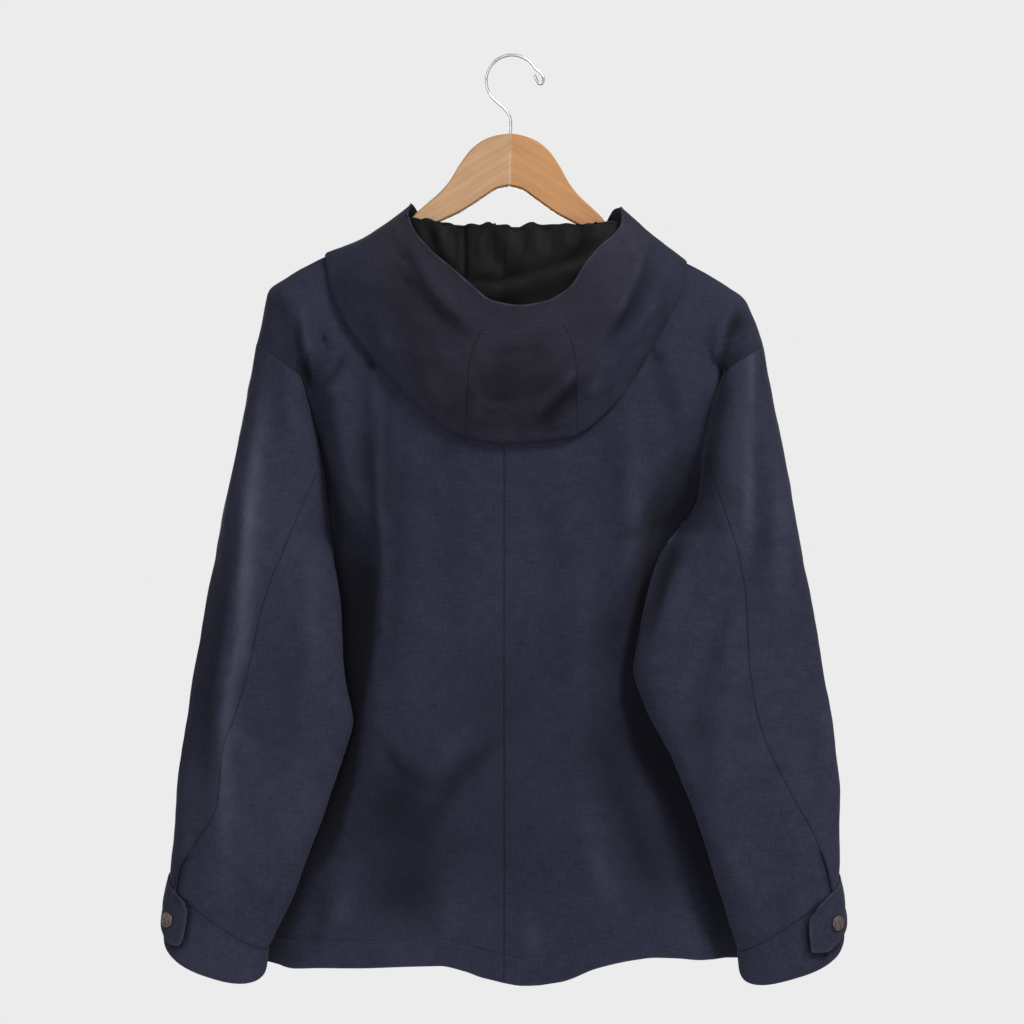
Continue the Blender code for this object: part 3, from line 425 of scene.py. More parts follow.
def sleeve_along(rows):
    lower = (np.maximum(rows, UNDERARM_ROW) - UNDERARM_ROW) / (LAST_ROW - UNDERARM_ROW)
    return np.where(rows <= UNDERARM_ROW, UNDERARM * rows / UNDERARM_ROW,
                    mix(UNDERARM, 1.0, lower ** ROW_CROWDING))


# About how many millimetres one column, one armhole row and one lower row come to.
COLUMN_WIDE, ARMHOLE_LONG, SLEEVE_LONG = 19, 32, 45
BACK_COLUMNS = steps(0, HALF_COLUMN, 0.19, (SEAM_COLUMN, HALF_COLUMN), COLUMN_WIDE)
FRONT_COLUMNS = steps(HALF_COLUMN, LAST_COLUMN, 0.21, (HALF_COLUMN, FRONT_SEAM_COLUMN), COLUMN_WIDE)
ARMHOLE_ROWS = steps(0, UNDERARM_ROW, 0.13, (0,), ARMHOLE_LONG)
LOWER_ROWS = steps(UNDERARM_ROW, LAST_ROW, 0.1, (LAST_ROW,), SLEEVE_LONG)
SLEEVE_ROWS = np.concatenate([ARMHOLE_ROWS, LOWER_ROWS[1:]])


def measured(grid):
    """How far each of a grid's points lies across and along the cloth, in metres."""
    across = np.zeros(grid.shape[:2])
    along = np.zeros(grid.shape[:2])
    across[:, 1:] = np.cumsum(np.linalg.norm(np.diff(grid, axis=1), axis=2), axis=1)
    down = np.cumsum(np.linalg.norm(np.diff(grid, axis=0), axis=2), axis=0)
    along[1:] = down.mean(axis=1)[:, None]
    return np.stack([across, -along], axis=-1)


def point_tree(places):
    """Finds the nearest of some points."""
    tree = KDTree(len(places))
    for k, place in enumerate(places):
        tree.insert(place, k)
    tree.balance()
    return tree


def shaded(data, finish, sharp):
    """A finished mesh as an object in the scene, smooth up to an angle in degrees."""
    data.materials.append(finish)
    data.shade_smooth()
    data.set_sharp_from_angle(angle=math.radians(sharp))
    made = bpy.data.objects.new(data.name, data)
    scene.collection.objects.link(made)
    return made


def free_sides(faces):
    """The sides that only one of some faces has."""
    uses = {}
    for face in faces:
        for a, b in zip(face, np.roll(face, -1)):
            if a != b:
                uses.setdefault((min(a, b), max(a, b)), []).append((a, b))
    return [use[0] for use in uses.values() if len(use) == 1]


class Cloth:
    """Cloth laid out in grids that share their seams; each cell belongs to one cut piece."""

    def __init__(self):
        self.points, self.faces, self.lay, self.owners = [], [], [], []
        self.known = {}

    def key(self, place):
        return tuple(np.round(place * 1e7).astype(int))

    def index(self, place):
        key = self.key(place)
        if key not in self.known:
            self.known[key] = len(self.points)
            self.points.append(place)
        return self.known[key]

    def found(self, places):
        """The points that were laid out at these places, wherever they have moved to."""
        return np.array([self.known[self.key(place)] for place in places])

    def add(self, grid, lay, owners, flip):
        """Adds a grid's cells; owners is one name for them all, or an array of their names."""
        index = [[self.index(place) for place in row] for row in grid]
        owners = np.broadcast_to(owners, (len(grid) - 1, len(grid[0]) - 1))
        for r, c in np.ndindex(owners.shape):
            cell = ((r, c), (r, c + 1), (r + 1, c + 1), (r + 1, c))
            corners = cell[::-1] if flip else cell
            self.faces.append([index[i][j] for i, j in corners])
            self.lay.append([lay[i][j] for i, j in corners])
            self.owners.append(str(owners[r, c]))

    def settle(self):
        """Ends the laying out: from here the points are one array, with their normals."""
        self.points = np.array(self.points)
        self.faces = np.array(self.faces)
        self.lay = np.array(self.lay)
        self.owners = np.array(self.owners)
        self.worn = np.zeros(len(self.points))
        self.hidden = np.zeros(len(self.points), bool)
        self.find_normals()

    def find_normals(self):
        total = np.zeros_like(self.points)
        for corners in (self.faces[:, (0, 1, 2)], self.faces[:, (0, 2, 3)]):
            a, b, c = (self.points[corners[:, k]] for k in range(3))
            flat = np.cross(b - a, c - a)
            for k in range(3):
                np.add.at(total, corners[:, k], flat)
        self.normals = total / np.maximum(np.linalg.norm(total, axis=1), 1e-20)[:, None]

    def move(self, height, worn=0.0):
        self.points = self.points + self.normals * height[:, None]
        self.worn = self.worn + worn
        self.find_normals()

    def tree(self):
        return BVHTree.FromPolygons(self.points.tolist(), self.faces.tolist())

    def piece(self, owner, fabric, roll=0.55, reach=2.0):
        """One cut piece as a closed slab. Its edges roll under: by roll, from reach away, in mm."""
        mine = self.owners == owner
        faces, lay = self.faces[mine], self.lay[mine]
        used, local = np.unique(faces, return_inverse=True)
        local = local.reshape(faces.shape)
        border = free_sides(local)
        place, normal = self.points[used], self.normals[used]
        rim = np.unique(border)
        rim_sewn, rim_unseen = np.isin(used, self.faces[~mine])[rim], self.hidden[used][rim]
        near = point_tree(place[rim])
        drop = np.zeros(len(place))
        worn = self.worn[used].copy()
        for k, spot in enumerate(place):
            _, edge, away = near.find(spot)
            close = 0.0 if rim_unseen[edge] else max(0.0, 1 - away / (reach * MM))
            uneven = 1 + 0.5 * noise.noise(Vector(spot) * 90)
            drop[k] = roll * MM * uneven * close * close
            # A sewn edge gets painted shade and grime; a free edge is worn pale.
            worn[k] += -SEAM_SHADE_AND_GRIME * close * close if rim_sewn[edge] else EDGE_RUB * close * uneven
        outer = place - normal * drop[:, None]
        inner = place - normal * CLOTH
        count = len(used)
        cells = [list(dict.fromkeys(face)) for face in local.tolist()]
        polygons = cells + [[k + count for k in reversed(face)] for face in cells]
        polygons += [[b, a, a + count, b + count] for a, b in border]
        data = bpy.data.meshes.new(owner + "_cloth")
        data.from_pydata(np.concatenate([outer, inner]).tolist(), [], polygons)
        spots = np.zeros((2 * count, 2))
        spots[local.ravel()] = lay.reshape(-1, 2)
        spots[local.ravel() + count] = lay.reshape(-1, 2)
        corner = np.zeros(len(data.loops), int)
        data.loops.foreach_get("vertex_index", corner)
        data.uv_layers.new(name="UVMap").data.foreach_set("uv", spots[corner].ravel())
        # The attribute holds wear and painted light: worn edges, painted highlights on crests, and
        # painted shade.
        data.attributes.new("worn", "FLOAT", "POINT").data.foreach_set(
            "value", np.concatenate([worn, worn * 0]))
        return shaded(data, fabric, 50)


def beside(columns, seam, gap):
    """The number of the column that lies nearest to a gap beside a seam."""
    return int(np.argmin(np.abs(columns - seam - gap)))


shell = Cloth()
shell_runs = {}             # the rows of stitches on each piece
closed_ends = []            # where a sleeve's two halves part unseen, under the arm
vents = []                  # the strips on top of each sleeve's vent, and those beneath them
sleeve_sheets = {}
for side in SIDES:
    back_sheet, front_sheet = [], []
    for row in SLEEVE_ROWS:
        along = float(sleeve_along(row))
        behind = sleeve_ring(side, along, sleeve_angles(side, along, BACK_COLUMNS))
        before = sleeve_ring(side, along, sleeve_angles(side, along, FRONT_COLUMNS))
        before[-1] = behind[0]
        before[0] = behind[-1]
        if row < UNDERARM_ROW:
            before[0] = sleeve_ring(side, along, np.array([math.pi + 1e-9]))[0]
        back_sheet.append(behind)
        front_sheet.append(before)
    back_sheet, front_sheet = np.array(back_sheet), np.array(front_sheet)
    sleeve_sheets[side] = back_sheet, front_sheet
    front_lay = measured(front_sheet)
    front_lay[..., 0] -= front_lay[:, -1:, 0]
    below, front_below = SLEEVE_ROWS >= SEAM_ROW, SLEEVE_ROWS >= UNDERARM_ROW
    halves = f"sleeve_{side}_under", f"sleeve_{side}_upper"
    past_seam = BACK_COLUMNS[:-1] >= SEAM_COLUMN
    before_seam = FRONT_COLUMNS[:-1] < FRONT_SEAM_COLUMN
    back_owners = np.where(below[:-1, None] & past_seam, *halves)
    front_owners = np.where(front_below[:-1, None] & before_seam, *halves)
    shell_runs[f"sleeve_{side}_upper"] = [
        back_sheet[below, beside(BACK_COLUMNS, SEAM_COLUMN, -STITCHED / COLUMN_WIDE)],
        front_sheet[front_below, beside(FRONT_COLUMNS, FRONT_SEAM_COLUMN, STITCHED / COLUMN_WIDE)]]
    closed_ends.append(back_sheet[int(np.argmax(below)), BACK_COLUMNS > SEAM_COLUMN + 0.01])
    vent_rows = sleeve_along(SLEEVE_ROWS) > VENT_TOP
    over = (BACK_COLUMNS > SEAM_COLUMN - VENT_OVER) & (BACK_COLUMNS <= SEAM_COLUMN)
    beneath = (BACK_COLUMNS > SEAM_COLUMN) & (BACK_COLUMNS < SEAM_COLUMN + VENT_BENEATH)
    vents.append([[back_sheet[vent_rows, c] for c in np.nonzero(columns)[0]]
                  for columns in (over, beneath)])
    shell.add(back_sheet, measured(back_sheet), back_owners, side == "left")
    shell.add(front_sheet, front_lay, front_owners, side == "left")

# ---------------------------------------------------------------- the cuffs
# Plain bands of the same twill, folded double and sewn round the sleeves' ends, with a row
# of stitches along each edge. A tab lies over each and shades it, so its outline is set here:
# where it ends, in half turns from the outer edge, for each share of the cuff's length.

CUFF_LONG = 36              # millimetres
CUFF_STEPS = steps(0, 1, 0.1, (0, 1), CUFF_LONG)
TAB_FRONT, TAB_LONG = -0.32, 0.78       # the tab's front end, and its share of the cuff's length
TAB_ENDS = {
    "left": Table("share end", (
        (0.00, 0.315), (0.12, 0.343), (0.30, 0.348), (0.55, 0.336), (0.70, 0.31), (0.78, 0.24)), 1),
    "right": Table("share end", (
        (0.00, 0.35), (0.14, 0.42), (0.35, 0.428), (0.64, 0.42), (0.78, 0.32)), 1),
}
tab_edges = {}
for side in SIDES:
    shares = np.linspace(0.02, TAB_LONG, 24)
    tab_edges[side] = np.concatenate([
        [sleeve_ring(side, 1.0, np.array([TAB_ENDS[side].at(share, "end") * math.pi]), share)[0]
         for share in shares],
        sleeve_ring(side, 1.0, np.linspace(0.02, 0.25, 10) * math.pi, TAB_LONG)])
for side in SIDES:
    back_sheet, front_sheet = sleeve_sheets[side]
    ring_columns = np.concatenate([BACK_COLUMNS, FRONT_COLUMNS[1:]])
    angles = sleeve_angles(side, 1.0, ring_columns)
    cuff = [np.concatenate([back_sheet[-1], front_sheet[-1][1:]])]
    for step in CUFF_STEPS[1:]:
        ring = sleeve_ring(side, 1.0, angles, step)
        ring[-1] = ring[0]
        cuff.append(ring)
    cuff = np.array(cuff)
    shell.add(cuff, measured(cuff), f"cuff_{side}", side == "left")
    shell_runs[f"cuff_{side}"] = [cuff[beside(CUFF_STEPS, 0, STITCHED / CUFF_LONG)],
                                  cuff[beside(CUFF_STEPS, 1, -STITCHED / CUFF_LONG)]]

# ---------------------------------------------------------------- the back and the fronts
# The same twill, cut in two behind with a centre seam. The shoulders lie over the
# hanger, the sides fall under the sleeves, and the hem dips at the centre back.

CENTRE_X = 8 * MM           # the parka hangs a little to the left of its hook
HANG_TILT = math.radians(1.2)
# The neck's columns go round it to its sides: 0 is the centre back and 1 the centre front.
NECK_TURNS = {True: (0, 0.25, 0.46, 0.55), False: (1, 0.8, 0.62, 0.55)}
NECK_COLUMNS, BODY_COLUMNS = 3, 11
SIDE_CROWDING = 1.35        # draws the columns together towards the sides
UNDERARM_Z = -500 * MM      # on the centre line, level with the underarms
UNDERARM_SHELF = 14 * MM    # lies flat behind the sleeve, beside the side seam
ROLL_CLEAR = 7 * MM         # between the sleeve's inner edge and the back's roll
FRONT_FALL = 60 * MM        # the width over which the front turns down to the armhole
SHOULDER_RISE = 120 * MM    # the height over which the panels turn over the shoulder
SIDE_SEAMS = {
    "left": Table("along x z", (
        (0.00, 181, -480), (0.08, 197, -512), (0.17, 218, -552), (0.25, 227, -585),
        (0.50, 238, -695), (0.75, 249, -803), (1.00, 262, -908))),
    "right": Table("along x z", (
        (0.00, 170, -470), (0.08, 186, -506), (0.17, 206, -548), (0.30, 219, -605),
        (0.50, 229, -695), (0.75, 241, -803), (1.00, 254, -906))),
}
# Where the back starts to roll in towards the sleeve, by its height.
RIDGES = {
    "left": Table("z x", (
        (-908, 215), (-803, 182), (-695, 152), (-585, 134), (-510, 125), (-480, 138), (-440, 167),
        (-400, 180), (-320, 187), (-290, 205))),
    "right": Table("z x", (
        (-906, 188), (-803, 136), (-695, 98), (-605, 74), (-548, 80), (-500, 94), (-470, 110),
        (-440, 138), (-405, 168), (-370, 180), (-320, 190), (-290, 205))),
}
SIDE_DEPTH = Table("along side_y low_y front", (
    (0.00, -14, -14, -57),
    (0.04, -28, -26, -58),
    (0.08, -31, -28, -59),
    (0.17, -35, -25, -60),
    (0.30, -35, -18, -61),
    (1.00, -35, -16, -61)))
BACK_DEPTH = Table("z y", (
    (-930, 40), (-880, 26), (-820, 19), (-740, 27), (-640, 42), (-560, 48), (-380, 43),
    (-250, 38), (-160, 30)))
HEM = Table("x z", (
    (-254, -906), (-190, -900), (-142, -898), (-123, -900), (-85, -908), (-48, -921), (-15, -925),
    (29, -917), (47, -911), (72, -906), (154, -908), (262, -908)))
FRONT_HEM_Z = -908 * MM
SHOULDER = Table("along x z", (
    (0.00, 107, -164), (0.20, 126, -176), (0.42, 162, -195), (0.62, 199, -212), (0.76, 223, -226),
    (0.86, 239, -239), (0.92, 245, -258), (1.00, 253, -288)))
NECK = Table("round x y z", (
    (-1.00, -12, -56, -252),
    (-0.85, -55, -49, -228),
    (-0.68, -97, -30, -190),
    (-0.55, -108, 0, -166),
    (-0.45, -99, 9.5, -166),
    (-0.36, -82, 12, -168),
    (-0.18, -40, 14, -171),
    (0.00, 4, 14, -172),
    (0.18, 40, 14, -171),
    (0.36, 82, 12, -166),
    (0.45, 99, 9.5, -162),
    (0.55, 108, 0, -161),
    (0.68, 97, -30, -186),
    (0.85, 55, -49, -228),
    (1.00, 12, -56, -252)))


def tilted(x, z):
    """A point of the hanger, which hangs a little low on the wearer's right."""
    return (x * math.cos(HANG_TILT) - z * math.sin(HANG_TILT),
            z * math.cos(HANG_TILT) + x * math.sin(HANG_TILT))


def top_edge(side, columns, back):
    """The neckline and then the shoulder, from the centre line to the armhole."""
    sign = SIDES[side]
    turns = sign * np.interp(columns, range(NECK_COLUMNS + 1), NECK_TURNS[back])
    neckline = NECK.point(turns)
    neckline[:, 0] = mix(CENTRE_X, neckline[:, 0], np.clip(columns, 0, 1))
    t = np.clip((columns - NECK_COLUMNS) / (BODY_COLUMNS - NECK_COLUMNS), 0, 1)
    x, z = tilted(sign * SHOULDER.at(t, "x"), SHOULDER.at(t, "z"))
    line = np.stack([x, 0 * x, z], axis=-1)
    neck = NECK.point(sign * NECK_TURNS[True][-1]) * (1, 0, 1)
    x, z = tilted(sign * SHOULDER.at(0.0, "x"), SHOULDER.at(0.0, "z"))
    start_move = neck - (x, 0, z)
    x, z = tilted(sign * SHOULDER.at(1.0, "x"), SHOULDER.at(1.0, "z"))
    end_move = sleeve_ring(side, 0.0, np.array([0.0]))[0] - (x, 0, z)
    # Its ends are drawn to where the neckline stops and to where the sleeve's head begins.
    line += start_move * (1 - smooth(3 * t))[:, None] + end_move * smooth(6 * t - 5)[:, None]
    return np.where((columns <= NECK_COLUMNS)[:, None], neckline, line)


def crowded(columns, share):
    """The body columns' places across the panel, drawn towards the side as share grows."""
    even = columns / BODY_COLUMNS
    return mix(even, 1 - (1 - even) ** SIDE_CROWDING, share)


def upper_body(side, columns, edge, shares, back):
    """The panel from its top edge down to the underarm, between centre line and armhole."""
    sign = SIDES[side]
    top = top_edge(side, columns, back)
    top[-1] = edge[0]
    centre_top = top[0][2]
    on_neck = smooth(1.4 - columns / NECK_COLUMNS)
    rows = [top]
    for point, share in zip(edge[1:], shares[1:]):
        fall = FRONT_FALL
        if back:
            fall = sign * point[0] - RIDGES[side].at(point[2] / MM, "x")
        v = share ** 1.5
        u = crowded(columns, v)[:, None]
        centre = np.array((CENTRE_X, 0, mix(centre_top, UNDERARM_Z, v)))
        low = mix(np.array((CENTRE_X, 0, UNDERARM_Z)), edge[-1] * (1, 0, 1), u)
        # Blended from the edges above and below and on either hand, less the corners' share.
        corners = mix(mix(top[0], top[-1], u), low, v)
        row = mix(top, low, v) + mix(centre, point, u) - corners
        # It turns down quickly over the shoulder, and more slowly from the neckline.
        drop = np.clip((top[:, 2] - row[:, 2]) / SHOULDER_RISE, 0, 1)
        flat = BACK_DEPTH.at(row[:, 2] / MM, "y") if back else SIDE_DEPTH.at(0.0, "front")
        spread = mix(np.sqrt(drop), np.sin(drop * math.pi / 2), on_neck)
        shelf = UNDERARM_SHELF * share ** 4
        reach = smooth((sign * (point[0] - row[:, 0]) - shelf) / (fall - shelf))
        row[:, 1] = mix(point[1], mix(top[:, 1], flat, spread), reach)
        row[-1] = point
        rows.append(row)
    return rows


def lower_body(side, columns, first_row, shares, back):
    """The panel from the underarm down to the hem."""
    sign = SIDES[side]
    seam = SIDE_SEAMS[side]
    alongs = np.linspace(UNDERARM, 1, 141)
    inner_z, inner_x = (SLEEVES[side].at(alongs, name) for name in ("in_z", "in_x"))
    u = crowded(columns, 1)
    rows = []
    for t in shares:
        side_x, side_z = seam.at(t, "x"), seam.at(t, "z")
        side_y, low_y, front = (SIDE_DEPTH.at(t, name) for name in ("side_y", "low_y", "front"))
        x = mix(CENTRE_X, sign * side_x, u)
        hem_z = mix(FRONT_HEM_Z, seam.at(1.0, "z"), u)
        if back:
            hem_z = HEM.at(mix(CENTRE_X, sign * seam.at(1.0, "x"), u) / MM, "z")
        z = mix(first_row[:, 2], hem_z, t)
        z = z + (side_z - mix(first_row[-1, 2], seam.at(1.0, "z"), t)) * u * u
        out = np.clip(np.abs(x) / side_x, 0, 1)
        if back:
            # From its ridge it rolls in, to lie flat just clear of the sleeve's inner edge.
            over = np.interp(-z, -inner_z, inner_x)
            end = np.minimum(side_x - UNDERARM_SHELF, over + ROLL_CLEAR)
            start = RIDGES[side].at(z / MM, "x")
            roll = 1 - smooth((np.abs(x) - start) / np.maximum(end - start, MM))
            deep = BACK_DEPTH.at(z / MM, "y") - low_y
            y = mix(side_y, low_y, np.sqrt(1 - out ** 6)) + deep * roll
        else:
            y = mix(side_y, front, np.sqrt(1 - out ** 3))
        rows.append(np.stack([x, y, z], axis=-1))
    return rows


def eased(grid, passes):
    """Lets a grid's depth settle smoothly between its four edges."""
    for _ in range(passes):
        for turn in (False, True):
            way = grid.transpose(1, 0, 2) if turn else grid
            gaps = np.linalg.norm(np.diff(way[..., (0, 2)], axis=0), axis=2) + 1e-6
            before, after = gaps[:-1], gaps[1:]
            level = (way[:-2, :, 1] * after + way[2:, :, 1] * before) / (before + after)
            way[1:-1, 1:-1, 1] += 0.5 * (level - way[1:-1, :, 1])[:, 1:-1]
    return grid


BODY_WIDE, BODY_LONG = 22, 410      # millimetres: one column, and from the underarm to the hem
BODY_STEPS = steps(0, BODY_COLUMNS, 0.17, (0, BODY_COLUMNS), BODY_WIDE)
HEM_DEEP, HEM_FROM, EASING = 26 * MM, 0.905, 24
CENTRE_STITCHED = 1.3       # millimetres from the centre seam to its stitches
LOWER_STEPS = np.concatenate([
    steps(0, HEM_FROM, 0.0115)[1:], steps(HEM_FROM, 1, 0.0036, (1,), BODY_LONG)[1:]])
for side in SIDES:
    for back, (sheet, inner) in zip((True, False), zip(sleeve_sheets[side], (-1, 0))):
        over = sheet[0] if back else sheet[0][::-1]
        places = BACK_COLUMNS if back else LAST_COLUMN - FRONT_COLUMNS[::-1]
        edge = np.concatenate([over, sheet[1:len(ARMHOLE_ROWS), inner]])
        shares = np.concatenate([places, HALF_COLUMN + ARMHOLE_ROWS[1:]])
        shares = shares / (HALF_COLUMN + UNDERARM_ROW)
        panel = upper_body(side, BODY_STEPS, edge, shares, back)
        panel += lower_body(side, BODY_STEPS, panel[-1], LOWER_STEPS, back)
        panel = eased(np.array(panel), EASING)
        name = ("back_" if back else "front_") + side
        shell.add(panel, panel[..., (0, 2)], name, (side == "left") != back)
        hem_row = beside(LOWER_STEPS, 1, -HEM_DEEP / (BODY_LONG * MM)) - len(LOWER_STEPS)
        shell_runs[name] = [panel[hem_row]]
        if back and side == "left":
            shell_runs[name].append(panel[:, beside(BODY_STEPS, 0, CENTRE_STITCHED / BODY_WIDE)])
shell.settle()
shell_runs = {name: [shell.found(run) for run in runs] for name, runs in shell_runs.items()}

# The creases and worn ridges behind and before, told as the sleeves' are. The ones before
# cross the front, the sleeves and the cuffs alike. Behind, the rows with no rise only paint
# shade, such as the broad painted shadows low on the back.

BACK_CREASES = (
    (((218, -230), (209, -247), (207, -282), (203, -312), (194, -330)), 4.2, 6, 12, 1.6),
    (((219, -258), (214, -276), (209, -298), (204, -322), (198, -348)), -3.4, 4.2, 4.2, 2.0, -0.95),
    (((234, -232), (227, -258), (219, -290), (214, -312)), 0.0, 8, 7, 2.0, -0.38),
    (((240, -240), (230, -249), (218, -259)), -1.5, 3, 3, 1.8, -0.25),
    (((-205, -326), (-210, -302), (-215, -283), (-221, -268),
      (-229, -246)), -3.6, 4.4, 4.4, 2.0, -0.95),
    (((-234, -246), (-229, -270), (-223, -296), (-216, -318)), 0.0, 7, 7, 2.0, -0.45),
    (((202, -327), (192, -331), (181, -322), (170, -306), (166, -292)), -3.4, 4, 5, 1.6, -0.34),
    (((199, -330), (184, -336), (170, -333), (158, -316)), 1.9, 7, 7, 2.0),
    (((192, -270), (189, -279), (185, -289), (181, -300)), -1.8, 1.8, 2.2, 1.6, -0.6),
    (((144, -296), (143, -330), (144, -380), (143, -450)), 0.0, 6, 6, 2.0, -0.3),
    (((126, -318), (122, -350), (124, -420), (126, -480)), 0.0, 5, 5, 2.0, -0.26),
    (((150, -300), (145, -374), (143, -463), (139, -562), (133, -640)), -5.4, 15, 11, 2.0),
    (((131, -318), (120, -394), (118, -503), (124, -610), (128, -690)), -4.2, 9, 14, 2.0),
    (((136, -330), (133, -410), (131, -500), (131, -600)), 2.1, 7, 7, 2.0),
    (((170, -330), (166, -394), (158, -483), (150, -560)), 4.2, 14, 14, 2.0),
    (((-222, -240), (-214, -265), (-199, -345), (-191, -400), (-184, -440)), 4.8, 13, 6, 1.5),
    (((-132, -280), (-150, -335), (-163, -384), (-168, -430)), -4.2, 12, 12, 2.0),
    (((-108, -300), (-121, -380), (-122, -470), (-114, -540), (-112, -620)), 4.2, 16, 12, 2.0),
    (((-90, -330), (-96, -430), (-92, -540), (-96, -640)), -2.6, 14, 12, 2.0),
    (((-99, -690), (-111, -752), (-127, -800), (-150, -850)), -3.2, 14, 12, 2.0),
    (((-60, -640), (-70, -740), (-92, -830), (-104, -900)), 2.9, 18, 16, 2.0),
    (((2, -668), (18, -686), (33, -699), (50, -718), (67, -742), (85, -771),
      (100, -800)), -4.2, 9, 8, 1.8, -0.36),
    (((140, -670), (126, -690), (108, -715), (80, -729), (54, -716)), -2.8, 7, 6, 1.8, -0.3),
    (((40, -650), (60, -690), (84, -728), (108, -760)), 2.2, 14, 14, 2.0),
    (((146, -292), (141, -303), (135, -316)), -2.2, 5, 5, 1.6, -0.6),
    (((-132, -284), (-141, -297), (-152, -312)), -2.2, 5, 5, 1.6, -0.5),
    (((92, -540), (70, -560), (44, -566)), -0.8, 6, 6, 2.0),
    (((70, -330), (64, -420), (66, -520), (60, -620)), -1.9, 18, 18, 2.0),
    (((-40, -340), (-36, -440), (-42, -560), (-38, -680)), -1.9, 18, 16, 2.0),
    (((60, -800), (66, -850), (62, -905)), 1.9, 14, 14, 2.0),
    (((150, -770), (165, -830), (178, -900)), 2.9, 16, 14, 2.0),
    (((190, -820), (198, -870), (205, -905)), -2.6, 9, 10, 2.0),
    (((-10, -840), (-20, -880), (-24, -925)), 1.9, 15, 15, 2.0),
    (((14, -215), (12, -260), (9, -330)), -1.6, 14, 14, 2.0),
    (((124, -680), (116, -735), (100, -790), (98, -850), (112, -890)), 0.0, 38, 34, 2.0, -0.66),
    (((170, -740), (150, -800), (140, -850), (140, -890)), 0.0, 26, 30, 2.0, -0.22),
    (((-78, -610), (-100, -690), (-128, -760), (-148, -820),
      (-168, -885)), 0.0, 32, 32, 2.0, -0.54),
    (((12, -560), (12, -660), (12, -780), (12, -880)), 0.0, 46, 46, 2.0, -0.19),
)
FRONT_CREASES = (
    (((60, -330), (70, -430), (66, -560), (58, -680)), -2.4, 14, 14, 2.0),
    (((110, -300), (116, -400), (112, -520), (120, -640)), 2.0, 16, 14, 2.0),
    (((150, -330), (146, -430), (152, -540)), -2.4, 13, 13, 2.0),
    (((-70, -320), (-76, -430), (-70, -550), (-78, -660)), -2.2, 15, 13, 2.0),
    (((-116, -310), (-124, -420), (-118, -540)), 2.0, 14, 15, 2.0),
    (((-152, -340), (-150, -440), (-144, -550)), -2.2, 12, 14, 2.0),
    (((90, -700), (104, -780), (96, -880)), -1.8, 16, 15, 2.0),
    (((-100, -700), (-90, -790), (-104, -885)), -1.6, 15, 15, 2.0),
    (((-150, -640), (-162, -740), (-150, -840)), 1.8, 16, 16, 2.0),
    (((150, -660), (160, -760), (170, -860)), 1.8, 16, 16, 2.0),
    (((214, -240), (205, -290), (196, -340)), 2.2, 10, 9, 1.8),
    (((-214, -240), (-204, -290), (-194, -345)), 2.2, 9, 10, 1.8),
    (((236, -300), (246, -400), (256, -500), (270, -620)), 2.4, 14, 9, 1.6),
    (((-232, -300), (-240, -400), (-250, -500), (-262, -600)), 2.4, 9, 14, 1.6),
    (((250, -640), (238, -690), (220, -720)), -1.8, 8, 8, 1.8),
    (((-252, -640), (-236, -680), (-214, -705)), -1.8, 8, 8, 1.8),
    (((270, -740), (276, -800), (284, -860)), -1.4, 9, 9, 2.0),
    (((-262, -750), (-266, -810), (-272, -860)), -1.4, 9, 9, 2.0),
)
# The back turns in under the sleeves, and their shade is painted on it there: how far out the
# painted shade is darkest, over what width it darkens, and how much, in thousandths.
RECESS = {
    "left": Table("z edge ramp much", (
        (-905, 238, 20, 350),
        (-879, 228, 12, 480),
        (-820, 202, 14, 560),
        (-780, 178, 12, 650),
        (-740, 168, 12, 760),
        (-700, 160, 14, 850),
        (-641, 150, 10, 900),
        (-582, 144, 9, 880),
        (-523, 142, 14, 620),
        (-503, 160, 34, 560),
        (-463, 172, 20, 480),
        (-424, 183, 9, 720),
        (-384, 194, 6, 850),
        (-345, 206, 6, 800),
        (-285, 212, 6, 0))),
    "right": Table("z edge ramp much", (
        (-905, 216, 14, 450),
        (-820, 192, 20, 650),
        (-760, 168, 20, 720),
        (-700, 142, 36, 600),
        (-641, 122, 58, 430),
        (-582, 118, 58, 480),
        (-542, 122, 30, 650),
        (-503, 128, 20, 700),
        (-483, 132, 18, 620),
        (-444, 152, 38, 560),
        (-424, 178, 66, 560),
        (-404, 190, 50, 480),
        (-384, 202, 12, 700),
        (-325, 210, 6, 700),
        (-285, 214, 6, 0))),
}


CREASE_STEP = 5 * MM        # along its path
CREASE_REACH = 2.6          # widths out from its path
CREASE_WEAR_AND_SHADE = 0.05          # wear on a ridge, and painted shade in a trough, for each millimetre of rise
OUTWARDS, FORWARDS = (0, 1, 0), (0, -1, 0)


def curve(names, corners):
    """A smooth line through some corners, read by the distance along them, and its length."""
    spots = np.concatenate([[0], np.cumsum(np.linalg.norm(np.diff(corners, axis=0), axis=1))])
    return Table("along " + names, np.column_stack([spots, corners]), 1), spots[-1]


def facing(normals, way):
    """0 where cloth turns away from a way, 1 where it faces it."""
    return smooth((normals @ np.array(way, float) - 0.1) / 0.4)


def beside_line(line, places):
    """How far places are from a line, which side they are on (left is 1) and how far along."""
    best = np.full(len(places), 1e9)
    hand, share = np.zeros(len(places)), np.zeros(len(places))
    for k, (a, b) in enumerate(zip(line, line[1:])):
        ahead = b - a
        away = places - a
        t = np.clip(away @ ahead / (ahead @ ahead), 0, 1)
        off = away - t[:, None] * ahead
        far = np.hypot(off[:, 0], off[:, 1])
        nearer = far < best
        turn = ahead[0] * away[:, 1] - ahead[1] * away[:, 0]
        best = np.where(nearer, far, best)
        hand = np.where(nearer, np.sign(turn), hand)
        share = np.where(nearer, (k + t) / (len(line) - 1), share)
    return best, hand, share


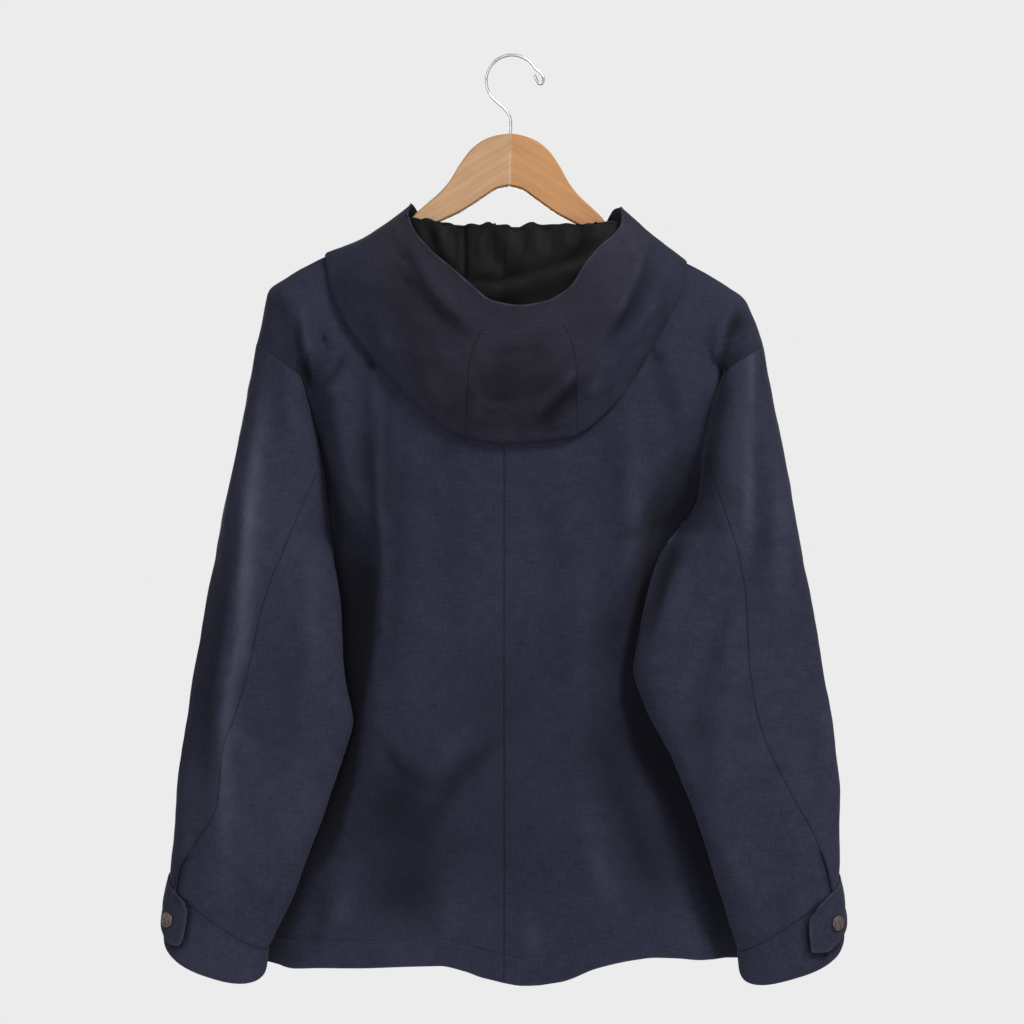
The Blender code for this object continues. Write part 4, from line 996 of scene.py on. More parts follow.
def creased(points, normals, creases, way, reach=0.35):
    """How far the creases lift the points that face a way, and the wear and painted light they
    leave.

    Each swells and sinks a little along its path, and dies away over a share of either end.
    """
    height, worn = np.zeros(len(points)), np.zeros(len(points))
    faced = facing(normals, way)
    flat = points[:, (0, 2)]
    for path, rise, left, right, sharp, *rub_and_painted_light in creases:
        bend, length = curve("x z", np.array(path, float) * MM)
        fine = np.linspace(0, length, max(8, int(length / CREASE_STEP)))
        line = np.stack([bend.at(fine, "x"), bend.at(fine, "z")], axis=-1)
        wide = CREASE_REACH * max(left, right) * MM
        low, high = line.min(axis=0) - wide, line.max(axis=0) + wide
        chosen = np.nonzero((flat > low).all(axis=1) & (flat < high).all(axis=1) & (faced > 0))[0]
        if not len(chosen):
            continue
        far, hand, share = beside_line(line, flat[chosen])
        form = np.exp(-(far / (np.where(hand > 0, left, right) * MM)) ** sharp)
        form *= smooth(share / reach) * smooth((1 - share) / reach) * faced[chosen]
        form *= 1 + 0.25 * np.sin(share * 9 + rise * 5)
        height[chosen] += rise * MM * form
        # A given rub paints the crease paler, or darker below 0 as painted shade; without one a
        # ridge is worn pale, and a trough gets painted shade by its rise.
        if rub_and_painted_light:
            worn[chosen] += rub_and_painted_light[0] * form
        else:
            worn[chosen] += CREASE_WEAR_AND_SHADE * rise * (form * form if rise > 0 else form)
    return height, worn


def wavered(points, size, scale, seed=0):
    """Small uneven waves of a size, as cotton has after long wear; a larger scale makes them
    closer.
    """
    return np.array([noise.noise(Vector(p) * scale + Vector((seed, 0, 0))) for p in points]) * size


SEAM_SINK = 0.25 * MM       # of the cloth under a row of stitches
VENT_LIFT, VENT_SINK = 1.6 * MM, 1.4 * MM       # of the two edges of a sleeve's vent
NEAR_CUFF = -760            # millimetres: below it a tab may shade the cloth round it
TAB_SHADE, TAB_SHADE_WIDE = 0.95, 3.6 * MM

PARTS = {                   # the beginnings of their pieces' names, and the creases behind
    "body": (("back", "front"), BACK_CREASES),
    "left": (("sleeve_left", "cuff_left"), LEFT_SLEEVE_CREASES),
    "right": (("sleeve_right", "cuff_right"), RIGHT_SLEEVE_CREASES)}
on_part = {part: np.zeros(len(shell.points), bool) for part in PARTS}
for face, name in zip(shell.faces, shell.owners):
    for part, (beginnings, _) in PARTS.items():
        if name.startswith(beginnings):
            on_part[part][face] = True
on_body = on_part["body"]
shared = on_body & (on_part["left"] | on_part["right"])
height, worn = np.zeros(len(shell.points)), np.zeros(len(shell.points))
for part, (_, behind) in PARTS.items():
    weight = on_part[part] * np.where(shared, 0.5, 1.0)
    for creases, way in ((behind, OUTWARDS), (FRONT_CREASES, FORWARDS)):
        lift, rub_and_painted_light = creased(shell.points, shell.normals, creases, way)
        height += lift * weight
        worn += rub_and_painted_light * weight
height += wavered(shell.points, 1.5 * MM, 20, 3) + wavered(shell.points, 0.5 * MM, 62, 9)
for end in closed_ends:
    shell.hidden[shell.found(end)] = True
for run in sum(shell_runs.values(), []):
    height[run] -= SEAM_SINK
for over, beneath in vents:
    for k, strip in enumerate(over):
        run, opened = shell.found(strip), smooth(np.linspace(0, 4, len(strip)))
        height[run] += VENT_LIFT * opened * (k + 1) / len(over)
    # The strips beneath sink, and are painted dark as shade in the vent's slit.
    for k, strip in enumerate(beneath):
        run, opened = shell.found(strip), smooth(np.linspace(0, 4, len(strip)))
        height[run] -= VENT_SINK * opened * (1 - k / len(beneath))
        worn[run] -= opened * (1 - k / len(beneath))
# Shade is painted into the back where it turns in under each sleeve, and round each tab.
for side, sign in SIDES.items():
    out, z = sign * shell.points[:, 0], shell.points[:, 2] / MM
    edge, ramp, much = (RECESS[side].at(z, name) for name in ("edge", "ramp", "much"))
    painted_recess_shade = smooth((out - edge + ramp) / ramp) * much * (shell.normals[:, 1] > -0.2)
    worn -= painted_recess_shade * on_body * ~on_part[side]
    tab_line = point_tree(tab_edges[side])
    for k in np.nonzero(on_part[side] & (z < NEAR_CUFF))[0]:
        worn[k] -= TAB_SHADE * math.exp(-(tab_line.find(shell.points[k])[2] / TAB_SHADE_WIDE) ** 2)
shell.move(height, worn)

# The hem is turned up and stitched: below its stitch line the cloth is double, and puckers.

# Millimetres: below the hem's stitches, at them and round them.
HEM_THICK, HEM_DIP, HEM_PUCKER = 0.55, 0.7, 1.5
body_points = shell.points[:, (0, 2)]
hem_line = np.where(shell.normals[:, 1] > 0, HEM.at(body_points[:, 0] / MM, "z"), FRONT_HEM_Z)
above = (body_points[:, 1] - hem_line - HEM_DEEP) / MM
step = HEM_THICK * (1 - smooth((above + 1.5) / 2.5)) - HEM_DIP * np.exp(-(above / 1.4) ** 2)
pucker = wavered([(x * 90 + z * 25, z * 30, 5) for x, z in body_points], HEM_PUCKER, 1)
step += pucker * np.exp(-((above + 8) / 14) ** 2)
shell.move(step * on_body * MM)

# The shell's fabric: a close twill, its threads uneven, a little faded on ridges and edges.
# Light is painted into it as well: a painted highlight on lit crests, and painted shade in
# seams, troughs and recesses.

LAY = "ShaderNodeUVMap", {"uv_map": "UVMap"}
# The attribute that carries the wear and the painted light into the shaders.
WEAR_AND_PAINTED_LIGHT = "ShaderNodeAttribute", {"attribute_name": "worn"}, None, "Fac"
# The near black that painted shade darkens the twill towards, with the grime at seams.
SHADE_AND_GRIME = (0.004, 0.004, 0.007, 1)


def twill(name, deep, lit, pale_wear_and_highlight, bluer=None):
    """Navy twill; bluer is the dye beyond a slanting line on either side, if it differs, and within
    the lines the given colours carry a painted sheen.
    """
    made, dye = material(name, {
        "Sheen Weight": 0.03, "Sheen Roughness": 0.45, "Specular IOR Level": 0.12})
    lay, where, rub_and_painted_light = dye.node(*LAY), dye.where(), dye.node(*WEAR_AND_PAINTED_LIGHT)
    warp = dye.speckle(dye.stretched(lay, (900, 90, 1)), 1.0)
    weft = dye.speckle(dye.stretched(lay, (70, 800, 1)), 1.0)
    patch = dye.speckle(where, 8.0, 3.0)
    mottle = dye.speckle(where, 55.0, 3.0, 0.6)
    ribs = dye.node("ShaderNodeTexWave", {"bands_direction": "DIAGONAL"},
                    {"Vector": lay, "Scale": 330.0, "Distortion": 0.6, "Detail": 1.0})
    threads = 0.5 + 0.75 * warp + 0.75 * weft
    tone = (threads + 0.55 * patch + 0.6 * mottle + 0.12 * (ribs - 0.5)).limited()
    colour = dye.blend(tone, deep, lit)
    if bluer:
        x, _, z = dye.parts(where)
        left = (x - 0.112 - (z + 0.25) * 0.35) * 40
        right = ((x + 0.112) * -1 - (z + 0.218) * 0.5) * 40
        beyond_painted_sheen = (left.limited() + right.limited() + 0.3 * patch).limited()
        lit_blue = [c * 1.75 for c in bluer[:3]] + [1]
        colour = dye.blend(beyond_painted_sheen, colour, dye.blend(tone, bluer, lit_blue))
    # Above 0 the attribute pales the colour: wear, and a painted highlight on lit crests.
    colour = dye.blend((rub_and_painted_light * (0.8 + 0.5 * mottle)).limited(0.0, 0.8), colour, pale_wear_and_highlight)
    wrinkle = dye.speckle(where, 110.0, 3.0, 0.55)
    height = 0.25 * ribs + 0.35 * warp + 0.35 * weft + 1.6 * wrinkle
    # Below 0 it darkens it: painted shade, with some grime at the seams.
    dye.finish({"Base Color": dye.blend((rub_and_painted_light * -1).limited(0.0, 0.75), colour, SHADE_AND_GRIME),
                "Roughness": (0.82 + 0.12 * mottle - 0.1 * rub_and_painted_light).limited(0.5, 1.0),
                "Normal": dye.bump(height, 0.35 * MM, 0.6)})
    return made


body_twill = twill("navy_twill_body", (0.0175, 0.0192, 0.037, 1), (0.0315, 0.034, 0.060, 1),
                   (0.075, 0.080, 0.120, 1))
# The sleeves' twill is the body's painted lighter, as the sleeves stand out and catch more light.
sleeve_twill_painted_lit = twill("navy_twill_sleeves", (0.0205, 0.0220, 0.041, 1), (0.0365, 0.0385, 0.067, 1),
                     (0.085, 0.090, 0.132, 1))


def thread_dye():
    made, dye = material("navy_thread", {"Specular IOR Level": 0.2, "Roughness": 0.7})
    strand = (0.5 + dye.speckle(dye.where(), 900.0)).limited()
    colour = dye.blend(strand, (0.014, 0.0145, 0.024, 1), (0.040, 0.041, 0.060, 1))
    dye.finish({"Base Color": colour})
    return made


def stitch_tree():
    """Stitches that follow seams: a short thread at each step, lying along its seam."""
    tree = bpy.data.node_groups.new("stitches", "GeometryNodeTree")
    kinds = {"Seams": "Geometry", "Step": "Float", "Width": "Float", "Thread": "Material"}
    for name, kind in kinds.items():
        tree.interface.new_socket(name, in_out="INPUT", socket_type="NodeSocket" + kind)
    tree.interface.new_socket("Stitches", in_out="OUTPUT", socket_type="NodeSocketGeometry")
    sewing = Dye(tree)
    given = sewing.node("NodeGroupInput").socket.node.outputs
    seams, step, width, thread = (Shade(sewing, given[name]) for name in kinds)
    path = sewing.node("GeometryNodeMeshToCurve", None, {"Mesh": seams})
    path = sewing.node("GeometryNodeResampleCurve", {"mode": "LENGTH"},
                       {"Curve": path, "Length": step})
    up = sewing.node("GeometryNodeInputNamedAttribute", {"data_type": "FLOAT_VECTOR"},
                     {"Name": "up"})
    turn = sewing.node("FunctionNodeAxesToRotation", {"primary_axis": "X", "secondary_axis": "Z"}, {
        "Primary Axis": sewing.node("GeometryNodeInputTangent"), "Secondary Axis": up})
    bead = sewing.node("GeometryNodeMeshUVSphere", None, {"Segments": 6, "Rings": 4, "Radius": 0.5})
    size = sewing.node("ShaderNodeCombineXYZ", None, {0: step * 0.74, 1: width, 2: width * 0.8})
    made = sewing.node("GeometryNodeInstanceOnPoints", None,
                       {"Points": path, "Instance": bead, "Rotation": turn, "Scale": size})
    made = sewing.node("GeometryNodeRealizeInstances", None, {"Geometry": made})
    made = sewing.node("GeometryNodeSetMaterial", None, {"Geometry": made, "Material": thread})
    sewing.feed(tree.nodes.new("NodeGroupOutput").inputs[0], made)
    return tree


STITCH = {"Step": 3.0 * MM, "Width": 0.6 * MM, "Thread": thread_dye()}
THREAD_PROUD = 0.1 * MM
stitching = stitch_tree()


def stitched(name, runs):
    """One mesh of the stitches along runs, each an array of points and one of normals."""
    data = bpy.data.meshes.new(name + "_runs")
    places, ups = (np.concatenate(part) for part in zip(*runs))
    edges, first = [], 0
    for points, _ in runs:
        edges += [(k, k + 1) for k in range(first, first + len(points) - 1)]
        first += len(points)
    data.from_pydata(places.tolist(), edges, [])
    data.attributes.new("up", "FLOAT_VECTOR", "POINT").data.foreach_set("vector", ups.ravel())
    holder = bpy.data.objects.new(name + "_runs", data)
    scene.collection.objects.link(holder)
    sewing = holder.modifiers.new("stitches", "NODES")
    sewing.node_group = stitching
    for socket in stitching.interface.items_tree:
        if socket.name in STITCH:
            sewing[socket.identifier] = STITCH[socket.name]
    shown = holder.evaluated_get(bpy.context.evaluated_depsgraph_get())
    made = bpy.data.objects.new(name, bpy.data.meshes.new_from_object(shown))
    bpy.data.objects.remove(holder)
    made.data.name = name
    made.data.shade_smooth()
    scene.collection.objects.link(made)
    return made


def sewn(cloth, node, fabric, slot, flat, area, seams=(), **cut):
    """Cuts a piece and hangs it on the frame in its node's place; flat and area, its flat size, are
    not used.
    """
    made = cloth.piece(node, fabric, **cut)
    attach(made, "root")
    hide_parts(node)
    thread = []
    if len(seams):
        runs = [(cloth.points[run] + cloth.normals[run] * THREAD_PROUD, cloth.normals[run])
                for run in seams]
        thread = [stitched(node + "_stitches", runs)]
        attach(thread[0], "root")
    return made


for side in SIDES:
    for node, fabric, slot, flat, area in (
            ("back_{}", body_twill, "body_cloth", (0.275, 0.76), 0.185),
            ("front_{}", body_twill, "body_cloth", (0.275, 0.76), 0.170),
            ("sleeve_{}_upper", sleeve_twill_painted_lit, "sleeve_cloth", (0.24, 0.64), 0.110),
            ("sleeve_{}_under", sleeve_twill_painted_lit, "sleeve_cloth", (0.19, 0.50), 0.070),
            ("cuff_{}", sleeve_twill_painted_lit, "sleeve_cloth", (0.26, 0.05), 0.0105)):
        node = node.format(side)
        sewn(shell, node, fabric, slot, flat, area, shell_runs.get(node, ()))

# ---------------------------------------------------------------- the hood
# A deep hood of twill, painted plum in the middle as a painted sheen of its nap. It is sewn
# in round the neckline and hangs down the back as an open bag: two sides and a centre strip,
# folded round the bottom of the bag and hemmed along the rim.

# Round the hood, 0 is the centre back, and a little over 0.5 the sides of the neck. FOLD is
# the bottom of the bag, with how far it stands off; MIDDLE is half way up its near wall.
HOOD_GAP = 0.8 * MM         # from the back to the hood's far wall
FOLD = Table("round x y z lift", (
    (-1.00, -36, -70, -294, 7),
    (-0.85, -97, -66, -284, 7),
    (-0.68, -150, -44, -246, 6),
    (-0.55, -174, 0, -208, 4.4),
    (-0.45, -171, 22, -232, 6),
    (-0.36, -155, 34, -264, 8),
    (-0.27, -130, 42, -309, 9),
    (-0.18, -98, 44, -353, 10),
    (-0.09, -54, 46, -383, 10),
    (0.00, 6, 48, -388, 10),
    (0.09, 54, 46, -380, 10),
    (0.18, 98, 44, -346, 10),
    (0.27, 131, 42, -311, 9),
    (0.36, 160, 34, -276, 8),
    (0.45, 181, 22, -231, 6),
    (0.55, 186, 0, -200, 4.4),
    (0.68, 158, -44, -240, 6),
    (0.85, 100, -66, -283, 7),
    (1.00, 40, -70, -294, 7)))
MIDDLE = Table("round x y z", (
    (-1.00, -26, -72, -277),
    (-0.85, -78, -72, -252),
    (-0.68, -124, -52, -211),
    (-0.55, -141, 2, -178),
    (-0.45, -140, 36, -202),
    (-0.36, -124, 56, -232),
    (-0.27, -108, 68, -264),
    (-0.18, -86, 75, -296),
    (-0.09, -54, 80, -311),
    (0.00, -3, 83, -318),
    (0.09, 50, 80, -311),
    (0.18, 82, 75, -290),
    (0.27, 108, 68, -260),
    (0.36, 128, 56, -232),
    (0.45, 146, 36, -202),
    (0.55, 144, 2, -178),
    (0.68, 126, -52, -206),
    (0.85, 80, -72, -250),
    (1.00, 28, -72, -277)))
RIM = Table("round x y z", (
    (-1.00, -16, -72, -262),
    (-0.85, -58, -66, -221),
    (-0.68, -94, -40, -166),
    (-0.60, -104, -14, -151),
    (-0.55, -110, 3, -150.5),
    (-0.50, -109, 19, -165),
    (-0.45, -103.5, 34, -177),
    (-0.36, -86, 60, -194),
    (-0.27, -71, 76, -213),
    (-0.18, -57, 84, -235),
    (-0.09, -33, 88, -249),
    (0.00, -7, 89, -253),
    (0.09, 20, 88, -248),
    (0.18, 38, 84, -234),
    (0.27, 61, 76, -214),
    (0.36, 81, 60, -196),
    (0.45, 98.5, 34, -172.5),
    (0.50, 103, 19, -159),
    (0.55, 101.5, 3, -147),
    (0.60, 95, -15, -154),
    (0.68, 92, -42, -175),
    (0.85, 56, -66, -220),
    (1.00, 14, -72, -262)))
INSERT_EDGES = (-0.11, 0.075)           # round the hood, where the strip's two seams run
INSERT_TOP = 0.78           # of the near wall, from the fold to the rim
# About how many millimetres the hood is round, and down its far wall and up its near one.
HOOD_ROUND, FAR_LONG, NEAR_LONG = 600, 150, 130
HOOD_TURNS = steps(-1, 1, 0.011, INSERT_EDGES, HOOD_ROUND)
FAR_STEPS = steps(0, 1, 0.024, (0,), FAR_LONG)
BEND_STEPS = 7
NEAR_STEPS = steps(0, 1, 0.03, (INSERT_TOP, 1), NEAR_LONG)
RIM_HEM = 4.0               # millimetres from the rim to its stitches
RIM_THICK, RIM_DIP = 0.4, 0.35      # millimetres, above its stitches and at them
RIM_RUBBED = 0.5            # how pale its very edge is
TACK_AT, TACK_HALF = -0.03, 0.035       # where the short row at the insert's top runs
# The hood's creases; the rows with no rise only paint shade, as across the bag's bottom and beside
# its folds.
HOOD_CREASES = (
    (((44, -330), (34, -342), (22, -352), (10, -358)), 1.5, 3, 3, 1.6),
    (((28, -305), (4, -298), (-18, -298), (-38, -310)), -1.6, 3.5, 4, 1.6, -0.16),
    (((36, -338), (18, -346), (2, -346), (-16, -336)), -1.8, 3, 4, 1.6, -0.2),
    (((38, -360), (22, -366), (4, -368)), 1.4, 3, 3, 1.6),
    (((108, -162), (101, -190), (91, -217), (71, -246), (46, -271)), 2.4, 6, 6, 1.8, -0.16),
    (((116, -196), (106, -206), (97, -208)), -1.7, 3, 3, 1.6, -0.2),
    (((110, -220), (98, -231), (87, -233)), -1.7, 3, 3, 1.6, -0.2),
    (((-133, -176), (-128, -198), (-117, -226), (-103, -256), (-91, -278),
      (-76, -298)), 3.8, 10, 4.5, 1.6, 0.06),
    (((-118, -164), (-119, -184), (-113, -208)), 1.5, 6, 6, 1.6, 0.14),
    (((-137, -226), (-130, -262), (-116, -292), (-98, -318)), 2.8, 7, 6, 1.8, 0.0),
    (((-128, -196), (-124, -221), (-108, -254), (-93, -276)), 5.1, 7, 5, 1.5),
    (((-143, -206), (-133, -238), (-119, -262), (-100, -286)), -4.4, 6, 7, 1.8),
    (((-150, -232), (-140, -250), (-125, -268), (-107, -290)), 2.5, 5, 7, 1.6),
    (((118, -190), (110, -208), (100, -222), (78, -246), (56, -264), (33, -286)), 3.7, 7, 20, 1.7),
    (((140, -222), (120, -250), (98, -280), (70, -304)), -2.4, 16, 16, 2.0),
    (((-70, -306), (-54, -326), (-38, -340), (-24, -356), (-8, -378)), 5.0, 5, 7, 1.8),
    (((-78, -318), (-62, -336), (-46, -352), (-30, -368), (-16, -386)), -4.6, 6, 6, 1.8),
    (((-70, -322), (-58, -340), (-46, -352), (-34, -366), (-24, -382)), 0.0, 9, 9, 2.0, -0.62),
    (((44, -316), (14, -326), (-18, -328), (-58, -318)), 0.0, 20, 24, 2.0, -0.42),
    (((30, -284), (4, -300), (-24, -296), (-50, -280)), 0.0, 14, 16, 2.0, -0.22),
    (((110, -186), (96, -218), (84, -244), (60, -268), (28, -292)), -3.4, 12, 8, 1.8),
    (((108, -190), (94, -222), (82, -248), (58, -272), (26, -296)), 0.0, 14, 10, 2.0, -0.34),
    (((-142, -178), (-136, -202), (-125, -230), (-111, -261), (-99, -283),
      (-82, -304)), -3.4, 5, 9, 1.6, -0.55),
    (((-160, -236), (-146, -280), (-128, -312), (-104, -342)), 0.0, 8, 8, 2.0, -0.4),
    (((-54, -196), (-72, -232), (-90, -262), (-96, -300)), 0.0, 26, 22, 2.0, -0.22),
    (((-54, -306), (-40, -326), (-26, -338), (-8, -354)), -2.4, 6, 6, 2.0),
    (((-106, -158), (-109, -172), (-110, -188)), 1.7, 5, 5, 1.6, 0.16),
    (((-96, -174), (-99, -190), (-98, -208)), 1.2, 5, 5, 1.6, 0.08),
    (((116, -164), (112, -178), (108, -194)), 2.0, 4, 3, 1.6),
    (((30, -330), (36, -350), (38, -376)), 2.0, 5, 5, 2.0),
    (((8, -300), (4, -330), (12, -366)), -1.9, 9, 9, 2.0),
    (((-30, -376), (-46, -368), (-62, -356)), 2.0, 4, 4, 1.8),
    (((88, -310), (76, -334), (60, -356)), 2.4, 9, 9, 2.0),
    (((140, -250), (130, -276), (112, -306)), 2.7, 9, 9, 2.0),
    (((-96, -300), (-84, -326), (-74, -350)), 2.7, 8, 8, 2.0),
    (((-128, -256), (-118, -286), (-108, -316)), -2.4, 8, 8, 2.0),
)


def laid(tree, places, height):
    """Points moved to lie at a height over the cloth under them."""
    moved = []
    for place, above in zip(places, np.broadcast_to(height, len(places))):
        near, normal, _, _ = tree.find_nearest(Vector(place))
        moved.append(near + normal * above)
    return np.array(moved)


body_tree = shell.tree()
hood_grid = []              # each row from the neckline, down the far wall and up the near one
for turn in HOOD_TURNS:
    neck, fold, middle, brim = (table.point(turn) for table in (NECK, FOLD, MIDDLE, RIM))
    lift = FOLD.at(turn, "lift")
    far_end = fold - (fold - neck) / np.linalg.norm(fold - neck) * lift * 0.6
    far = laid(body_tree, mix(neck, far_end, FAR_STEPS[:, None]), HOOD_GAP)
    tip = laid(body_tree, [fold], HOOD_GAP + lift * 0.5)[0]
    start = laid(body_tree, [far_end], HOOD_GAP + lift)[0]
    pull = 2 * tip - (far[-1] + start) / 2
    bend = [mix(mix(far[-1], pull, s), mix(pull, start, s), s)
            for s in np.linspace(0, 1, BEND_STEPS + 2)[1:-1]]
    wall = Table("share x y z", np.column_stack([(0, 0.5, 1), [start, middle, brim]]), 1)
    hood_grid.append(np.concatenate([far, bend, wall.point(NEAR_STEPS)]))
hood_grid = np.array(hood_grid)
near_first = len(FAR_STEPS) + BEND_STEPS
for _ in range(6):          # each pass lets the bag's turns open a little
    inner = hood_grid[1:-1, 1:-1]
    inner += 0.3 * ((hood_grid[:-2, 1:-1] + hood_grid[2:, 1:-1]) / 2 - inner)
near_steps = np.concatenate([np.full(near_first, -1.0), NEAR_STEPS])
between = (HOOD_TURNS[:-1] >= INSERT_EDGES[0]) & (HOOD_TURNS[:-1] < INSERT_EDGES[1])
on_insert = between[:, None] & (near_steps[:-1] < INSERT_TOP)
hood_owners = np.where(on_insert, "hood_insert", "hood_shell")
hood_lay = measured(hood_grid.transpose(1, 0, 2)).transpose(1, 0, 2)
hood = Cloth()
hood.add(hood_grid, hood_lay, hood_owners, False)
hood.settle()
height, worn = creased(hood.points, hood.normals, HOOD_CREASES, OUTWARDS)
rim_column = beside(near_steps, 1, -RIM_HEM / NEAR_LONG)
top_columns = [beside(near_steps, INSERT_TOP, gap / NEAR_LONG) for gap in (STITCHED, -STITCHED)]
low_wall = slice(len(FAR_STEPS) // 2, top_columns[0])
seam_rows = [beside(HOOD_TURNS, edge, gap / HOOD_ROUND)
             for edge in INSERT_EDGES for gap in (-STITCHED, STITCHED)]
inside = slice(seam_rows[1], seam_rows[2] + 1)
tack = np.abs(HOOD_TURNS - TACK_AT) < TACK_HALF
hood_runs = {"hood_shell": [hood_grid[:, rim_column], hood_grid[seam_rows[0], low_wall],
                            hood_grid[seam_rows[3], low_wall]],
             "hood_insert": [hood_grid[tack, top_columns[1]]]}
hood_runs = {name: [hood.found(run) for run in runs] for name, runs in hood_runs.items()}
for run in sum(hood_runs.values(), []):
    height[run] -= SEAM_SINK
hood.hidden[hood.found(hood_grid[inside, beside(near_steps, INSERT_TOP, 0)])] = True

# The rim is turned in and stitched, so it is thicker, and its very edge is rubbed pale.
rim_line = point_tree(RIM.point(np.linspace(-1, 1, 160)))
from_rim = np.array([rim_line.find(place)[2] for place in hood.points]) / MM
height += RIM_THICK * MM * (1 - smooth((from_rim - RIM_HEM) / 1.5))
height -= RIM_DIP * MM * np.exp(-(from_rim - RIM_HEM - 0.4) ** 2)
worn += RIM_RUBBED * np.exp(-(from_rim / 1.2) ** 2)
near_wall = smooth((hood.normals[:, 1] + 0.2) / 0.4)
uneven = wavered(hood.points, 1.4 * MM, 28, 5) + wavered(hood.points, 0.5 * MM, 80, 2)
height += uneven * near_wall
hood.move(height, worn)
# Its middle is painted plum, as a painted sheen of the nap; bluer is the dye itself.
hood_twill_with_painted_sheen = twill("navy_twill_hood", (0.0170, 0.0155, 0.0265, 1), (0.0290, 0.0265, 0.0430, 1),
                   (0.080, 0.078, 0.108, 1), bluer=(0.0162, 0.0179, 0.0325, 1))
for node, flat, area in (
        ("hood_shell", (0.62, 0.46), 0.155), ("hood_insert", (0.115, 0.30), 0.032)):
    sewn(hood, node, hood_twill_with_painted_sheen, "hood_cloth", flat, area, hood_runs[node], roll=0.35, reach=1.5)

# ---------------------------------------------------------------- the hood's lining
# Thin black woven cloth inside the bag, cut to the hood's own shape. It is gathered where it
# is sewn in along the neck, turned under at the rim, and sags in a pouch between them.

LINING_FACE = 1.4 * MM      # from the hood's inner side to the lining's own face
LINING_ROUND = 0.47         # how far round the hood it is built, either way
LINING_LOOSE = 2.6 * MM     # off the wall behind it
GATHERED_UP, GATHERED_WAVE, GATHERED_OUT = 2.0, 6.0, 4.0        # millimetres, along the neck
# The lining's creases; the rows with no rise only paint shade, over and under the pouch's lip and
# in its hollows.
LINING_CREASES = (
    (((64, -226), (42, -232), (20, -233), (4, -230), (-36, -219), (-70, -207),
      (-86, -198)), 9.0, 26, 4, 1.6),
    (((80, -212), (42, -223), (20, -224), (4, -221), (-36, -208), (-72, -195),
      (-110, -170)), 0.0, 8, 7, 2.0, -0.75),
    (((60, -250), (30, -248), (0, -246), (-30, -235), (-80, -217),
      (-110, -200)), 0.0, 13, 11, 2.4, -0.9),
    (((46, -150), (46, -180), (45, -200), (46, -232)), 0.0, 2.2, 2.2, 2.0, -1.0),
    (((122, -156), (98, -184), (76, -206), (50, -226)), 0.0, 12, 14, 2.0, -0.85),
    (((28, -150), (20, -186), (-4, -206), (-24, -214)), 0.0, 13, 10, 2.0, -0.5),
    (((-60, -150), (-66, -182), (-74, -200)), 0.0, 9, 9, 2.0, -0.5),
    (((46, -172), (47, -196), (45, -224)), -2.6, 3, 3, 1.6),
    (((78, -166), (70, -186), (62, -210)), 3.4, 5, 6, 1.8),
    (((88, -164), (82, -178), (76, -198)), -3.0, 5, 4, 1.8),
    (((60, -170), (58, -186), (56, -206)), -2.6, 4, 5, 1.8),
    (((34, -171), (30, -190), (33, -214)), 3.2, 6, 5, 1.8),
    (((18, -172), (19, -188), (14, -214)), -3.4, 5, 5, 1.8),
    (((4, -172), (3, -192), (8, -216)), 2.8, 5, 5, 1.8),
    (((-10, -172), (-12, -188), (-6, -204)), -3.2, 5, 4, 1.8),
    (((-24, -171), (-23, -186), (-26, -204)), 2.6, 5, 6, 1.8),
    (((-40, -170), (-38, -184), (-42, -200)), -3.4, 5, 5, 1.8),
    (((-54, -169), (-55, -182), (-50, -196)), 3.0, 5, 4, 1.8),
    (((-68, -168), (-69, -180), (-64, -192)), -2.6, 4, 5, 1.8),
    (((-82, -167), (-83, -176), (-78, -188)), 2.4, 4, 5, 1.8),
)
shown = np.abs(HOOD_TURNS) <= LINING_ROUND
under_rim = slice(None, -4)
lookup = np.array([hood.found(row) for row in hood_grid[shown, under_rim]])
lining_grid = hood.points[lookup] - hood.normals[lookup] * (CLOTH + LINING_FACE)
gathers = wavered([(turn * 15, 2, 7) for turn in HOOD_TURNS[shown]], 1, 1)
lining_grid[:, 0, 2] += (GATHERED_UP + GATHERED_WAVE * gathers) * MM
lining_grid[:, :3, 1] += GATHERED_OUT * MM * np.roll(gathers, 9)[:, None] * (1.0, 0.8, 0.4)
lining = Cloth()
lining.add(lining_grid, hood_lay[shown, under_rim], "hood_lining", True)
lining.settle()
height, worn = creased(lining.points, lining.normals, LINING_CREASES, OUTWARDS, 0.3)
loose = LINING_LOOSE + wavered(lining.points, 1.2 * MM, 50, 4)
height += loose * facing(lining.normals, OUTWARDS)
lining.move(np.maximum(height, -0.3 * MM), worn)


def lining_dye():
    made, dye = material("black_lining", {"Sheen Weight": 0.0, "Specular IOR Level": 0.05})
    thread = dye.speckle(dye.stretched(dye.node(*LAY), (1400, 90, 1)), 1.0)
    mottle = dye.speckle(dye.where(), 45.0, 3.0)
    tone = (0.5 + 0.35 * thread + 0.5 * mottle).limited()
    colour = dye.blend(tone, (0.0075, 0.0075, 0.0077, 1), (0.0165, 0.0165, 0.0168, 1))
    # Where the creases call for it, shade is painted into the lining, down to near black.
    fold = (dye.node(*WEAR_AND_PAINTED_LIGHT) * -1).limited(0.0, 0.95)
    dye.finish({"Base Color": dye.blend(fold, colour, (0.0004, 0.0004, 0.0005, 1)),
                "Roughness": 0.6 + 0.1 * mottle,
                "Normal": dye.bump(thread * 0.5 + mottle, 0.3 * MM, 0.5)})
    return made


sewn(lining, "hood_lining", lining_dye(), "lining_cloth", (0.40, 0.38), 0.115)

# ---------------------------------------------------------------- the closure
# A cover strip of the body's twill, folded double and stitched down along both edges. It
# hides where the fronts meet, from under the throat to the hem, and closes with snaps.

